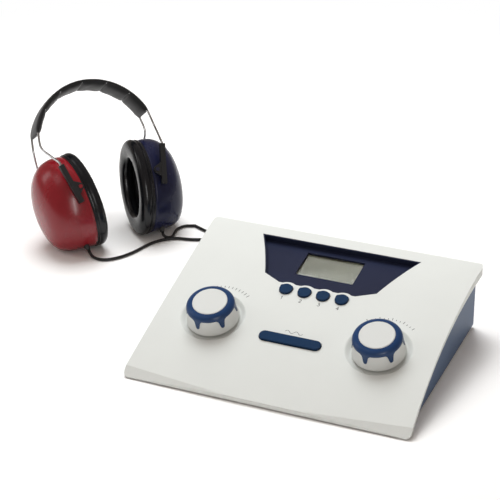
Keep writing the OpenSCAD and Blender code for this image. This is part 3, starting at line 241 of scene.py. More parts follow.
run = smooth_path([left_join, [-205, 315.6, 1.6], [-190, 310, 1.6], [-170, 307.5, 1.6], [-148, 310, 1.6],
                   [-125, 316, 1.6], [-100, 322.8, 1.6], c[0]], 8)
s = np.array(c[-1])
left_plug_x = SOCKET_X + SOCKET_PITCH
tail = smooth_path([s, s + [0.1, -6, 1.2], [left_plug_x - 0.1, 282.5, 19.4], [left_plug_x, 275.2, 26.4],
                    [left_plug_x, PLUG_END, SOCKET_Z]], 8)
routes["left"] = ([tip], drop, run, c, tail)

leads = {}
for side, parts in routes.items():
    pts = [np.asarray(parts[0][0], float)]
    for part in parts[1:]:
        for q in part:
            q = np.asarray(q, float)
            if np.linalg.norm(q - pts[-1]) > LEAST_STEP:
                pts.append(q)
    path = [spot(q) for q in pts]
    leaves = gland(-1 if side == "right" else 1)[1]
    lead = sweep(side + "_lead", path, LEAD_D / 2000, 12, first=leaves, last=(0, -1, 0))
    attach(lead, "console")
    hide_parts(*[side + "_lead_" + w for w in LEAD_PARTS])
    leads[side] = lead


# ---------------------------------------------------------------- materials
def new_mat(name):
    m = bpy.data.materials.new(name)
    m.use_nodes = True
    nt = m.node_tree
    p = nt.nodes["Principled BSDF"]
    return m, nt, p


def node(nt, kind, **props):
    n = nt.nodes.new(kind)
    for k, v in props.items():
        setattr(n, k, v)
    return n


def put(n, **values):
    for k, v in values.items():
        n.inputs[k.replace("_", " ")].default_value = v
    return n


def coords(nt, stretch=(1, 1, 1)):
    tc = node(nt, "ShaderNodeTexCoord")
    mp = node(nt, "ShaderNodeMapping")
    mp.inputs["Scale"].default_value = stretch
    nt.links.new(tc.outputs["Object"], mp.inputs["Vector"])
    return mp.outputs["Vector"]


def ramp(nt, source, stops):
    r = node(nt, "ShaderNodeValToRGB")
    while len(r.color_ramp.elements) < len(stops):
        r.color_ramp.elements.new(0.5)
    for e, (pos, col) in zip(r.color_ramp.elements, stops):
        e.position = pos
        e.color = (*col, 1) if len(col) == 3 else col
    nt.links.new(source, r.inputs["Fac"])
    return r.outputs["Color"]


def shade(col, k):
    return tuple(max(0.0, min(1.0, v * k)) for v in col)


def moulded(name, col, rough=0.45, grain=0.0005, depth=0.00002, vary=0.05, spec=0.5, coat=0.0, edge=0.0,
            spread=0.06):
    """Moulded plastic or rubber: spark-eroded grain, a slow drift of tone and gloss, rounded edges."""
    m, nt, p = new_mat(name)
    v = coords(nt)
    fine = put(node(nt, "ShaderNodeTexNoise"), Scale=1 / grain, Detail=3.0, Roughness=0.6)
    slow = put(node(nt, "ShaderNodeTexNoise"), Scale=22.0, Detail=4.0, Roughness=0.55)
    for n in (fine, slow):
        nt.links.new(v, n.inputs["Vector"])
    tone = ramp(nt, slow.outputs["Fac"], [(0.3, shade(col, 1 - vary)), (0.7, shade(col, 1 + vary))])
    nt.links.new(tone, p.inputs["Base Color"])
    gloss = node(nt, "ShaderNodeMapRange")
    gloss.inputs["From Min"].default_value, gloss.inputs["From Max"].default_value = 0.3, 0.7
    gloss.inputs["To Min"].default_value = rough - spread
    gloss.inputs["To Max"].default_value = rough + spread
    nt.links.new(slow.outputs["Fac"], gloss.inputs["Value"])
    nt.links.new(gloss.outputs["Result"], p.inputs["Roughness"])
    bump = node(nt, "ShaderNodeBump")
    bump.inputs["Strength"].default_value = 0.6
    bump.inputs["Distance"].default_value = depth
    nt.links.new(fine.outputs["Fac"], bump.inputs["Height"])
    if edge:
        bv = node(nt, "ShaderNodeBevel")
        bv.samples = 4
        bv.inputs["Radius"].default_value = edge
        nt.links.new(bv.outputs["Normal"], bump.inputs["Normal"])
    nt.links.new(bump.outputs["Normal"], p.inputs["Normal"])
    p.inputs["Specular IOR Level"].default_value = spec
    if coat:
        p.inputs["Coat Weight"].default_value = coat
        p.inputs["Coat Roughness"].default_value = 0.12
    return m


def vinyl(name, col, cell=0.0011, depth=0.00009, rough=0.36, spec=0.4):
    """Soft vinyl skin: leather grain of small cells, fine creases, paler worn high spots."""
    m, nt, p = new_mat(name)
    v = coords(nt)
    warp = put(node(nt, "ShaderNodeTexNoise"), Scale=240.0, Detail=3.0)
    nt.links.new(v, warp.inputs["Vector"])
    cells = put(node(nt, "ShaderNodeTexVoronoi"), Scale=1 / cell)
    cells.feature = "SMOOTH_F1"
    nt.links.new(v, cells.inputs["Vector"])
    slow = put(node(nt, "ShaderNodeTexNoise"), Scale=35.0, Detail=5.0, Roughness=0.6)
    nt.links.new(v, slow.inputs["Vector"])
    tone = ramp(nt, slow.outputs["Fac"], [(0.3, shade(col, 0.82)), (0.55, col), (0.78, shade(col, 1.35))])
    nt.links.new(tone, p.inputs["Base Color"])
    gloss = node(nt, "ShaderNodeMapRange")
    gloss.inputs["To Min"].default_value, gloss.inputs["To Max"].default_value = rough - 0.09, rough + 0.12
    nt.links.new(slow.outputs["Fac"], gloss.inputs["Value"])
    nt.links.new(gloss.outputs["Result"], p.inputs["Roughness"])
    b1 = node(nt, "ShaderNodeBump")
    b1.inputs["Strength"].default_value = 0.5
    b1.inputs["Distance"].default_value = depth
    nt.links.new(cells.outputs["Distance"], b1.inputs["Height"])
    b2 = node(nt, "ShaderNodeBump")
    b2.inputs["Strength"].default_value = 0.35
    b2.inputs["Distance"].default_value = depth * 1.5
    nt.links.new(warp.outputs["Fac"], b2.inputs["Height"])
    nt.links.new(b1.outputs["Normal"], b2.inputs["Normal"])
    nt.links.new(b2.outputs["Normal"], p.inputs["Normal"])
    p.inputs["Specular IOR Level"].default_value = spec
    p.inputs["Sheen Weight"].default_value = 0.02
    p.inputs["Sheen Roughness"].default_value = 0.4
    return m


def metal(name, col, rough=0.22, stretch=(1, 1, 60)):
    """Drawn or turned metal: fine lines along it, a slow drift of gloss."""
    m, nt, p = new_mat(name)
    v = coords(nt, stretch)
    n = put(node(nt, "ShaderNodeTexNoise"), Scale=60.0, Detail=4.0)
    nt.links.new(v, n.inputs["Vector"])
    tone = ramp(nt, n.outputs["Fac"], [(0.3, shade(col, 0.9)), (0.7, shade(col, 1.08))])
    nt.links.new(tone, p.inputs["Base Color"])
    g = node(nt, "ShaderNodeMapRange")
    g.inputs["To Min"].default_value, g.inputs["To Max"].default_value = rough - 0.08, rough + 0.1
    nt.links.new(n.outputs["Fac"], g.inputs["Value"])
    nt.links.new(g.outputs["Result"], p.inputs["Roughness"])
    b = node(nt, "ShaderNodeBump")
    b.inputs["Strength"].default_value = 0.25
    b.inputs["Distance"].default_value = 0.00002
    nt.links.new(n.outputs["Fac"], b.inputs["Height"])
    nt.links.new(b.outputs["Normal"], p.inputs["Normal"])
    p.inputs["Metallic"].default_value = 1.0
    return m


def foam_mat(name, col):
    """Open-cell foam, with painted shade in the pores: the colour is darker at the pits of the cells and
    paler on the cell walls.
    """
    m, nt, p = new_mat(name)
    v = coords(nt)
    cells = put(node(nt, "ShaderNodeTexVoronoi"), Scale=850.0)
    nt.links.new(v, cells.inputs["Vector"])
    fuzz = put(node(nt, "ShaderNodeTexNoise"), Scale=300.0, Detail=5.0)
    nt.links.new(v, fuzz.inputs["Vector"])
    # painted shade: the pits of the cells, where the bump sinks, are coloured darker than the cell walls
    tone = ramp(nt, cells.outputs["Distance"], [(0.05, shade(col, 0.35)), (0.5, col), (0.9, shade(col, 1.5))])
    nt.links.new(tone, p.inputs["Base Color"])
    b = node(nt, "ShaderNodeBump")
    b.inputs["Strength"].default_value = 0.9
    b.inputs["Distance"].default_value = 0.0004
    nt.links.new(cells.outputs["Distance"], b.inputs["Height"])
    b2 = node(nt, "ShaderNodeBump")
    b2.inputs["Strength"].default_value = 0.5
    b2.inputs["Distance"].default_value = 0.0003
    nt.links.new(fuzz.outputs["Fac"], b2.inputs["Height"])
    nt.links.new(b.outputs["Normal"], b2.inputs["Normal"])
    nt.links.new(b2.outputs["Normal"], p.inputs["Normal"])
    p.inputs["Roughness"].default_value = 0.95
    return m


def screen_mat(name, col):
    """Reflective liquid-crystal glass: grey-green with a faint grid of picture elements."""
    m, nt, p = new_mat(name)
    v = coords(nt)
    slow = put(node(nt, "ShaderNodeTexNoise"), Scale=18.0, Detail=2.0)
    nt.links.new(v, slow.inputs["Vector"])
    gridx = put(node(nt, "ShaderNodeTexWave"), Scale=320.0)
    gridx.wave_profile = "SAW"
    gridx.bands_direction = "X"
    gridy = put(node(nt, "ShaderNodeTexWave"), Scale=320.0)
    gridy.wave_profile = "SAW"
    gridy.bands_direction = "Y"
    for g in (gridx, gridy):
        nt.links.new(v, g.inputs["Vector"])
    most = node(nt, "ShaderNodeMath", operation="MAXIMUM")
    nt.links.new(gridx.outputs["Fac"], most.inputs[0])
    nt.links.new(gridy.outputs["Fac"], most.inputs[1])
    lines = ramp(nt, most.outputs[0], [(0.9, (1, 1, 1)), (0.97, (0.93, 0.93, 0.93))])
    tone = ramp(nt, slow.outputs["Fac"], [(0.3, shade(col, 0.95)), (0.7, shade(col, 1.05))])
    mx = node(nt, "ShaderNodeMix", data_type="RGBA", blend_type="MULTIPLY")
    mx.inputs["Factor"].default_value = 1.0
    nt.links.new(tone, mx.inputs["A"])
    nt.links.new(lines, mx.inputs["B"])
    nt.links.new(mx.outputs["Result"], p.inputs["Base Color"])
    p.inputs["Roughness"].default_value = 0.3
    return m


def glass_mat(name):
    """Clear window, faintly wiped."""
    m, nt, p = new_mat(name)
    v = coords(nt)
    n = put(node(nt, "ShaderNodeTexNoise"), Scale=40.0, Detail=2.0)
    nt.links.new(v, n.inputs["Vector"])
    g = node(nt, "ShaderNodeMapRange")
    g.inputs["To Min"].default_value, g.inputs["To Max"].default_value = 0.02, 0.07
    nt.links.new(n.outputs["Fac"], g.inputs["Value"])
    nt.links.new(g.outputs["Result"], p.inputs["Roughness"])
    p.inputs["Base Color"].default_value = (0.95, 0.97, 0.95, 1)
    p.inputs["Transmission Weight"].default_value = 1.0
    p.inputs["IOR"].default_value = 1.45
    return m


def board_mat(name, col):
    """Circuit board: solder mask over faint copper tracks."""
    m, nt, p = new_mat(name)
    v = coords(nt)
    tr = put(node(nt, "ShaderNodeTexBrick"), Scale=90.0)
    tr.inputs["Color1"].default_value = (*col, 1)
    tr.inputs["Color2"].default_value = (*shade(col, 1.25), 1)
    tr.inputs["Mortar"].default_value = (*shade(col, 1.9), 1)
    tr.inputs["Mortar Size"].default_value = 0.012
    nt.links.new(v, tr.inputs["Vector"])
    nt.links.new(tr.outputs["Color"], p.inputs["Base Color"])
    b = node(nt, "ShaderNodeBump")
    b.inputs["Strength"].default_value = 0.3
    b.inputs["Distance"].default_value = 0.00003
    nt.links.new(tr.outputs["Fac"], b.inputs["Height"])
    nt.links.new(b.outputs["Normal"], p.inputs["Normal"])
    p.inputs["Roughness"].default_value = 0.35
    return m


def dress(nodes, m):
    for n in nodes:
        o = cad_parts[n]
        if not o.material_slots:
            o.data.materials.append(m)
        for sl in o.material_slots:
            sl.material = m


WHITE = (0.73, 0.755, 0.735)
M = {
    "cover": moulded("cover_white", WHITE, 0.5, 0.0006, 0.000018, vary=0.012, edge=0.0005, spec=0.3,
                     spread=0.04),
    "base": moulded("base_blue", (0.07, 0.115, 0.205), 0.5, 0.0006, 0.00003, vary=0.06, edge=0.0004,
                    spec=0.3),
    "navy": moulded("display_navy", (0.017, 0.022, 0.05), 0.42, 0.0007, 0.00002, vary=0.08, edge=0.0003,
                    spec=0.22),
    "dial": moulded("dial_white", (0.70, 0.72, 0.705), 0.34, 0.0005, 0.000008, vary=0.012, edge=0.0004,
                    spec=0.4),
    "crown": moulded("crown_blue", (0.008, 0.04, 0.13), 0.32, 0.0005, 0.00001, vary=0.07, edge=0.0003,
                     spec=0.4),
    "key": moulded("key_navy", (0.008, 0.032, 0.085), 0.4, 0.0005, 0.00001, vary=0.07, edge=0.0006,
                   spec=0.16),
    "rubber": moulded("rubber_black", (0.014, 0.014, 0.015), 0.75, 0.0005, 0.00004, vary=0.1, spec=0.3,
                      edge=0.0004),
    "socket": moulded("socket_black", (0.013, 0.013, 0.014), 0.42, 0.0005, 0.00002, vary=0.1, edge=0.0004),
    "rocker": moulded("rocker_black", (0.018, 0.018, 0.02), 0.28, 0.0005, 0.00001, vary=0.1, edge=0.0005),
    "plug": moulded("plug_black", (0.014, 0.014, 0.015), 0.45, 0.0009, 0.00006, vary=0.1, edge=0.0004),
    "lead": moulded("lead_black", (0.010, 0.010, 0.011), 0.42, 0.0012, 0.00003, vary=0.12, spec=0.4),
    "gland": moulded("gland_black", (0.014, 0.013, 0.014), 0.55, 0.0006, 0.00003, vary=0.1, edge=0.0003),
    "sleeve": moulded("sleeve_black", (0.011, 0.012, 0.014), 0.4, 0.0005, 0.000015, vary=0.12, edge=0.0005),
    "plate": moulded("plate_black", (0.010, 0.010, 0.012), 0.3, 0.0006, 0.00002, vary=0.1, edge=0.0005,
                     spec=0.4),
    "red": moulded("shell_red", (0.235, 0.007, 0.014), 0.25, 0.0009, 0.000006, vary=0.06, coat=0.15,
                   spec=0.4),
    "blue": moulded("shell_blue", (0.012, 0.014, 0.042), 0.27, 0.0009, 0.000006, vary=0.1, coat=0.04,
                    spec=0.2),
    "pin_red": moulded("pin_red", (0.25, 0.01, 0.018), 0.32, 0.0006, 0.00001, vary=0.05, edge=0.0004),
    "pin_blue": moulded("pin_blue", (0.010, 0.011, 0.038), 0.32, 0.0006, 0.00001, vary=0.05, edge=0.0004),
    "earphone": moulded("earphone_grey", (0.018, 0.018, 0.021), 0.5, 0.0006, 0.00003, vary=0.08, edge=0.0004),
    "part": moulded("component_black", (0.03, 0.03, 0.034), 0.5, 0.0006, 0.00002, vary=0.08, edge=0.0002),
    "ink": moulded("print_grey", (0.03, 0.032, 0.04), 0.55, 0.0004, 0.000004, vary=0.06),
    "pad": vinyl("band_vinyl", (0.016, 0.016, 0.017), 0.0012, 0.00009, 0.42, 0.2),
    "cushion": vinyl("cushion_vinyl", (0.005, 0.0055, 0.0075), 0.0010, 0.00002, 0.2, 0.35),
    "wire": metal("wire_steel", (0.5, 0.5, 0.51), 0.2),
    "steel": metal("shaft_steel", (0.62, 0.62, 0.64), 0.3),
    "zinc": metal("zinc_screw", (0.6, 0.61, 0.63), 0.35),
    "brass": metal("encoder_metal", (0.66, 0.62, 0.55), 0.35),
    "foam": foam_mat("foam_dark", (0.02, 0.02, 0.026)),
    "lcd": screen_mat("lcd_grey", (0.43, 0.43, 0.335)),
    "glass": glass_mat("window_clear"),
    "board": board_mat("board_green", (0.012, 0.09, 0.035)),
}
dress(["top_cover"], M["cover"])
dress(["base_tray"], M["base"])
dress(["feet"], M["rubber"])
dress(["cover_screws", "encoder_nuts"], M["zinc"])
dress(["display_bezel"], M["navy"])
dress(["display_window"], M["glass"])
dress(["lcd_module"], M["lcd"])
dress(["lcd_board", "main_board", "control_boards"], M["board"])
dress(["board_parts", "key_switches", "tone_switches"], M["part"])
dress(["level_knob", "frequency_knob"], M["dial"])
dress(["level_knob_crown", "frequency_knob_crown"], M["crown"])
dress(["level_shaft", "frequency_shaft"], M["steel"])
dress(["encoders"], M["brass"])
dress(["function_key_%d" % k for k in (1, 2, 3, 4)] + ["tone_bar"], M["key"])
dress(["phone_sockets", "power_jack", "power_switch"], M["socket"])
dress(["power_rocker"], M["rocker"])
dress(["right_sleeves", "left_sleeves"], M["sleeve"])
dress(["right_cushion_plate", "left_cushion_plate"], M["plate"])
dress(["right_pivot_pins"], M["pin_red"])
dress(["left_pivot_pins"], M["pin_blue"])
dress(["right_earphone", "left_earphone"], M["earphone"])
dress(["right_gland", "left_gland"], M["gland"])
dress(["right_plug", "left_plug"], M["plug"])
for side in leads:
    leads[side].data.materials.append(M["lead"])


# ---------------------------------------------------------------- headband pad: welded vinyl over foam
PARTS, STEPS = 6, 22
band = PARTS * STEPS
half = [(-1.0, 0.42), (-0.985, 0.5), (-0.95, 0.62), (-0.9, 0.76), (-0.8, 0.93), (-0.65, 1.06), (-0.45, 1.15),
        (-0.22, 1.2), (0, 1.21)]
inner = half + [(-q, t) for q, t in reversed(half[:-1])]
outer = [(0.985, 0.3), (0.95, 0.16), (0.86, 0.05), (0.6, 0.0), (0.3, -0.03), (0, -0.04), (-0.3, -0.03),
         (-0.6, 0.0), (-0.86, 0.05), (-0.95, 0.16), (-0.985, 0.3)]
section = inner + outer
verts = []
for i in range(band + 1):
    a = math.radians(-BAND_HALF + 2 * BAND_HALF * i / band)
    from_weld = abs((i / STEPS + 0.5) % 1 - 0.5) * 2 * BAND_HALF / PARTS * math.pi / 180 * BAND_R
    groove = math.exp(-(from_weld / 1.1) ** 2)
    puff = 1 - math.exp(-(from_weld / 4.5) ** 2)
    end = min(1.0, (min(i, band - i) / 5) ** 0.6) if i not in (0, band) else 0.0
    for q, t in section:
        depth = BAND_T * t
        if t > 0.5:
            depth -= (t - 0.5) / 0.7 * (2.6 * groove + 0.9 * (1 - puff))
            w = noise.noise(Vector((q * 2.2, a * 9, 3.1)))
            depth += 0.35 * w * puff
        depth = 0.45 * BAND_T + (depth - 0.45 * BAND_T) * (0.55 + 0.45 * end)
        r = BAND_R - depth
        wide = q * BAND_W / 2 * (0.985 + 0.015 * end - 0.02 * groove)
        verts.append([r * math.sin(a), wide, BAND_Z + r * math.cos(a)])
m = len(section)
faces = grid(band + 1, m)
ends = [list(range(m)), list(range(band * m, band * m + m))]
verts = list(spot(head(verts)))
for k, ring in enumerate(ends):
    verts.append(np.mean([verts[v] for v in ring], axis=0))
    hub = len(verts) - 1
    for j in range(m):
        a, b = ring[j], ring[(j + 1) % m]
        faces.append((a, b, hub) if k else (b, a, hub))
pad = make("headband_cover", verts, [f[::-1] for f in faces])
pad.data.materials.append(M["pad"])
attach(pad, "console")
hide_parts("headband_pad")

# ---------------------------------------------------------------- wires
SLEEVE_TOP = (60.3, 35.3)
BEND = (67.8, 63.6)
BAND_ROW, SLEEVE_ROW = 14.0, 40.6   # a wire from the band's middle plane, inside the pad and in the sleeve
IN_SLEEVE = 40                      # length of a wire inside its sleeve
for name, row in (("front_wire", -1), ("rear_wire", 1)):
    top = np.array([SLEEVE_TOP[0], row * SLEEVE_ROW, SLEEVE_TOP[1]])
    d = np.array([math.sin(SPLAY), 0, math.cos(SPLAY)])
    bh = math.radians(BAND_HALF)
    arc_end = [WIRE_ARC * math.sin(bh), row * BAND_ROW, BAND_Z + WIRE_ARC * math.cos(bh)]
    arc = [[WIRE_ARC * math.sin(a), row * BAND_ROW, BAND_Z + WIRE_ARC * math.cos(a)]
           for a in (math.radians(v) for v in range(0, 69, 4))]
    end = smooth_path([arc_end, [BEND[0] - 0.2, row * 14.2, BEND[1] + 6], [BEND[0], row * 15.6, BEND[1]],
                       [BEND[0] - 1.2, row * 20.5, BEND[1] - 6.5],
                       top + [0.2, -row * 3.6, 2] + 4 * d, top + d], 8)
    line = [np.array(p) for p in arc] + end + [top - IN_SLEEVE * d * k / 4 for k in range(5)]
    line = [q for i, q in enumerate(line) if i == 0 or np.linalg.norm(q - line[i - 1]) > 0.1]
    whole = [q * [-1, 1, 1] for q in line[:0:-1]] + line
    wire = sweep(name + "_rod", [spot(head(q)) for q in whole], WIRE_R / 1000, 20)
    wire.data.materials.append(M["wire"])
    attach(wire, "console")
    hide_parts(name)

# ---------------------------------------------------------------- cups
SHELL_T = 2.2
HOLE_A, HOLE_B = 21.75, 32.0
PLATE_T, CUSHION_T = 2.0, 15.6
PHONE_R = 20.0
FOAM_H = 14.0
# Cushion section: 0 at the hole to 1 at the outside, 0 at the plate to 1 at the front
CUSHION_LINE = [(0.06, 0), (0, 0.3), (0.02, 0.68), (0.14, 0.92), (0.4, 1), (0.68, 0.97), (0.9, 0.82),
                (1, 0.56), (0.985, 0.3), (0.93, 0.17), (0.985, 0.1), (0.97, 0)]


def shell_ring(phi, t, n):
    """A ring of a cup shell, t inside its outer face, from the rim at 0 to the pole at 90 degrees."""
    s = math.sin(phi) ** (2 / CUP_POWER)
    k = math.cos(phi) ** (2 / CUP_POWER)
    mid = shell_mid(s)
    turns = [2 * math.pi * j / n for j in range(n)]
    return [[mid[0] + (CUP_A - t) * k * math.sin(a), mid[1] + (CUP_B - t) * k * math.cos(a),
             (CUP_DEPTH - t) * s] for a in turns]


def round_section(pts, n):
    """A smooth line through a section's points."""
    p = [np.array([*q, 0.0]) for q in pts]
    return [q[:2] for q in smooth_path(p, n)]


for side, label in ((-1, "right"), (1, "left")):
    body = label + "_cup"
    n = 96
    out_phi = [math.radians(89.4 * (i / 34) ** 1.25) for i in range(35)]
    in_phi = [math.radians(88 * (i / 14) ** 1.1) for i in range(15)]
    pts = []
    for phi in out_phi:
        pts += shell_ring(phi, 0, n)
    for phi in in_phi:
        pts += shell_ring(phi, SHELL_T, n)
    no, ni = len(out_phi), len(in_phi)
    pts.append([*shell_mid(1), CUP_DEPTH])
    pts.append([*shell_mid(1), CUP_DEPTH - SHELL_T])
    faces = grid(no, n) + [f[::-1] for f in grid(ni, n, start=no * n)]
    hub = (no + ni) * n
    for j in range(n):
        k = (j + 1) % n
        faces.append(((no - 1) * n + j, (no - 1) * n + k, hub))
        faces.append(((no + ni - 1) * n + k, (no + ni - 1) * n + j, hub + 1))
        faces.append((k, j, no * n + j, no * n + k))
    if side < 0:
        faces = [f[::-1] for f in faces]
    shell = make(label + "_cup_shell", spot(cup(side, pts)), faces)
    shell.data.materials.append(M["red" if side < 0 else "blue"])
    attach(shell, body)
    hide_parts(label + "_shell")

    # ear cushion: foam ring in vinyl, a groove beside the plate and small pleats at the hole
    line = round_section(CUSHION_LINE, 6)
    rings = 144
    thick = CUSHION_T - PLATE_T
    pts = []
    for j in range(rings):
        a = 2 * math.pi * j / rings
        for u, t in line:
            pleat = 0.12 * math.exp(-((t - 0.55) / 0.5) ** 2) * math.exp(-(u / 0.12) ** 2)
            w = noise.noise(Vector((math.sin(a) * 26, math.cos(a) * 26, t * 1.5 + 7 * side)))
            soft = 0.2 * noise.noise(Vector((math.sin(a) * 3, math.cos(a) * 3, u * 2 + 2 * side)))
            push = pleat * w
            x = (HOLE_A + (CUP_A + 0.6 - HOLE_A) * u + push) * math.sin(a)
            y = (HOLE_B + (CUP_B + 1.4 - HOLE_B) * u + push) * math.cos(a)
            z = -PLATE_T - thick * min(t, 1.0) - (soft if 0.1 < t else 0) * min(1, t)
            pts.append([x, y, z])
    faces = grid(rings, len(line), close_n=True)
    if side > 0:
        faces = [f[::-1] for f in faces]
    cushion = make(label + "_cushion_ring", spot(cup(side, pts)), faces)
    cushion.data.materials.append(M["cushion"])
    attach(cushion, body)
    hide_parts(label + "_ear_cushion")

    # open-cell foam round the earphone
    fa, fb, fh = CUP_A - 7, CUP_B - 8.5, FOAM_H
    rings = 96
    rows = [(0.0, fh), (0.0, 4.0), (0.0, 1.2), (0.06, 0.3), (0.2, -0.25), (0.45, -0.5), (0.7, -0.4),
            (0.88, 0.1), (0.97, 1.0), (1.0, 3.0), (1.0, fh)]
    pts = []
    for j in range(rings):
        a = 2 * math.pi * j / rings
        for u, z in rows:
            dent = 0.3 * noise.noise(Vector((math.sin(a) * 8, math.cos(a) * 8, u * 4))) if z < 3 else 0
            pts.append([((PHONE_R + 0.2) * (1 - u) + fa * u) * math.sin(a),
                        ((PHONE_R + 0.2) * (1 - u) + fb * u) * math.cos(a), z + dent])
    faces = grid(rings, len(rows), close_n=True)
    if side > 0:
        faces = [f[::-1] for f in faces]
    foam = make(label + "_foam_ring", spot(cup(side, pts)), faces)
    foam.data.materials.append(M["foam"])
    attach(foam, body)
    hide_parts(label + "_foam")

# ---------------------------------------------------------------- printed marks on the cover
chord = math.atan2(REAR_H - FRONT_H, CONSOLE_D)
TOP_R = (CONSOLE_D ** 2 + (REAR_H - FRONT_H) ** 2) / (8 * TOP_RISE) + TOP_RISE / 2
top_y = CONSOLE_D / 2 + math.sin(chord) * (TOP_R - TOP_RISE)
top_z = (FRONT_H + REAR_H) / 2 - math.cos(chord) * (TOP_R - TOP_RISE)


def on_cover(x, y, up=0.02):
    """A place on the top face, from the middle line and along the slope in console y."""
    r = TOP_R + up
    return [x, y, top_z + math.sqrt(r * r - (y - top_y) ** 2)]


def strip(points, width):
    """A flat printed line on the cover, as quads across its path."""
    p = np.array(points, float)
    t = np.gradient(p, axis=0)
    t /= np.linalg.norm(t, axis=1)[:, None]
    nrm = np.stack([-t[:, 1], t[:, 0]], 1)
    a, b = p + nrm * width / 2, p - nrm * width / 2
    vs = [spot(on_cover(*q)) for pair in zip(a, b) for q in pair]
    fs = [(2 * i, 2 * i + 1, 2 * i + 3, 2 * i + 2) for i in range(len(p) - 1)]
    return vs, fs


marks_v, marks_f = [], []


def mark(points, width):
    vs, fs = strip(points, width)
    base = len(marks_v)
    marks_v.extend(vs)
    marks_f.extend(tuple(base + i for i in f) for f in fs)


DIAL_X, DIAL_Y, DISH_R = 85.3, 81.5, 33.25
for sgn in (-1, 1):
    for k in range(13):
        a = math.radians(-36 + 6 * k)
        grow = 1.4 + (2.2 * k / 12 if sgn < 0 else (1.6 if k % 3 == 0 else 0.3))
        r0 = DISH_R + 4.5
        along = (r0, r0 + grow / 2, r0 + grow)
        mark([[sgn * DIAL_X + r * math.sin(a), DIAL_Y + r * math.cos(a)] for r in along], 0.55)
KEY_PITCH, KEY_Y, BAR_Y = 19.4, 131.2, 70.6
DIGITS = {
    1: [[(-0.55, 0.9), (0.15, 1.5), (0.15, -1.5)]],
    2: [[(-0.85, 0.85), (-0.6, 1.35), (0, 1.55), (0.6, 1.35), (0.85, 0.8), (0.6, 0.1), (-0.9, -1.5)],
        [(-0.95, -1.45), (0.95, -1.45)]],
    3: [[(-0.8, 1.3), (-0.1, 1.55), (0.6, 1.3), (0.75, 0.8), (0.5, 0.25), (-0.1, 0.1)],
        [(-0.1, 0.1), (0.6, -0.1), (0.9, -0.7), (0.6, -1.3), (-0.1, -1.55), (-0.85, -1.2)]],
    4: [[(0.45, -1.5), (0.45, 1.5), (-0.95, -0.55)], [(-0.95, -0.6), (1.05, -0.6)]],
}
for k in range(4):
    cx, cy = (k - 1.5) * KEY_PITCH, KEY_Y - 10.6
    for stroke in DIGITS[k + 1]:
        for a, b in zip(stroke, stroke[1:]):
            a, b = 1.25 * np.array(a), 1.25 * np.array(b)
            e = unit(b - a) * 0.2
            mark([[cx + q[0], cy + q[1]] for q in (a - e, (a + b) / 2, b + e)], 0.5)
mark([[-9 + 18 * i / 36, BAR_Y + 10.3 + 1.5 * math.sin(4 * math.pi * i / 36)] for i in range(37)], 0.42)
marks = make("printed_marks", marks_v, marks_f, smooth=False)
marks.data.materials.append(M["ink"])
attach(marks, "console")

# ---------------------------------------------------------------- floor, lamps, world
floor_mat, nt, p = new_mat("floor_white")
v = coords(nt)
n = put(node(nt, "ShaderNodeTexNoise"), Scale=3.0)
nt.links.new(v, n.inputs["Vector"])
nt.links.new(ramp(nt, n.outputs["Fac"], [(0.2, (0.985, 0.985, 0.985)), (0.8, (0.995, 0.995, 0.995))]),
             p.inputs["Base Color"])
p.inputs["Roughness"].default_value = 1.0
p.inputs["Specular IOR Level"].default_value = 0.0
# Lit white near the object, where it keeps the shadow, and flat white away from it
FLAT_FROM, FLAT_TO = 0.42, 1.0
flat = node(nt, "ShaderNodeVectorMath", operation="MULTIPLY")
nt.links.new(v, flat.inputs[0])
flat.inputs[1].default_value = (1, 1, 0)
away = node(nt, "ShaderNodeVectorMath", operation="LENGTH")
nt.links.new(flat.outputs["Vector"], away.inputs[0])
far = node(nt, "ShaderNodeMapRange", interpolation_type="SMOOTHSTEP")
far.inputs["From Min"].default_value, far.inputs["From Max"].default_value = FLAT_FROM, FLAT_TO
nt.links.new(away.outputs["Value"], far.inputs["Value"])
rays = node(nt, "ShaderNodeLightPath")
seen = node(nt, "ShaderNodeMath", operation="MAXIMUM")
nt.links.new(rays.outputs["Is Camera Ray"], seen.inputs[0])
nt.links.new(rays.outputs["Is Glossy Ray"], seen.inputs[1])
seen2 = node(nt, "ShaderNodeMath", operation="MAXIMUM")
nt.links.new(seen.outputs[0], seen2.inputs[0])
nt.links.new(rays.outputs["Is Transmission Ray"], seen2.inputs[1])
much = node(nt, "ShaderNodeMath", operation="MULTIPLY")
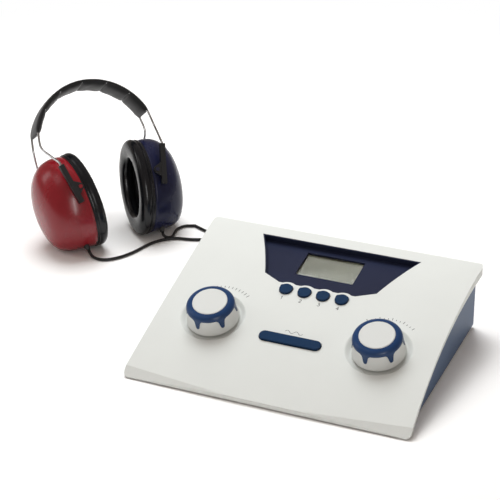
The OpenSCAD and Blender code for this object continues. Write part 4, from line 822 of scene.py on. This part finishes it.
nt.links.new(far.outputs["Result"], much.inputs[0])
nt.links.new(seen2.outputs[0], much.inputs[1])
white = put(node(nt, "ShaderNodeEmission"), Color=(1, 1, 1, 1), Strength=1.0)
both = node(nt, "ShaderNodeMixShader")
nt.links.new(much.outputs[0], both.inputs["Fac"])
nt.links.new(p.outputs["BSDF"], both.inputs[1])
nt.links.new(white.outputs["Emission"], both.inputs[2])
nt.links.new(both.outputs["Shader"], nt.nodes["Material Output"].inputs["Surface"])
ft, low = 12, -0.0002
floor = make("floor", [(-ft, -ft, low), (ft, -ft, low), (ft, ft, low), (-ft, ft, low)], [(0, 1, 2, 3)],
             smooth=False)
floor.data.materials.append(floor_mat)

world = bpy.data.worlds.new("studio")
scene.world = world
world.use_nodes = True
nt = world.node_tree
bg = nt.nodes["Background"]
bg.inputs["Color"].default_value = (1.0, 0.87, 0.77, 1)
bg.inputs["Strength"].default_value = 0.32


def lamp(name, at, to, size, power, tall=None, col=(1, 1, 1)):
    d = bpy.data.lights.new(name, "AREA")
    d.energy = power
    d.color = col
    d.size = size
    if tall:
        d.shape = "RECTANGLE"
        d.size_y = tall
    o = bpy.data.objects.new(name, d)
    scene.collection.objects.link(o)
    o.location = at
    o.rotation_mode = "QUATERNION"
    o.rotation_quaternion = (Vector(to) - Vector(at)).to_track_quat("-Z", "Y")
    return o


# The main lamp, left of and behind the object, doesn't show in gloss; the strip shows in gloss only
lamp("top_lamp", (-0.6, 0.9, 2.0), (0, 0.05, 0), 1.4, 55, col=(0.97, 0.99, 1.0)).visible_glossy = False
lamp("shine_lamp", (-0.9, -0.9, 2.2), (0, 0.05, 0), 0.9, 2.5)
lamp("strip_lamp", (1.25, -1.7, 1.15), (-0.1, 0.05, 0.05), 0.16, 8, tall=1.3).visible_diffuse = False
lamp("front_lamp", (1.1, -1.7, 1.2), (-0.1, 0.05, 0.05), 0.9, 3)
lamp("side_lamp", (-2.2, -0.6, 1.5), (-0.1, 0.05, 0.05), 0.6, 6, tall=1.4)
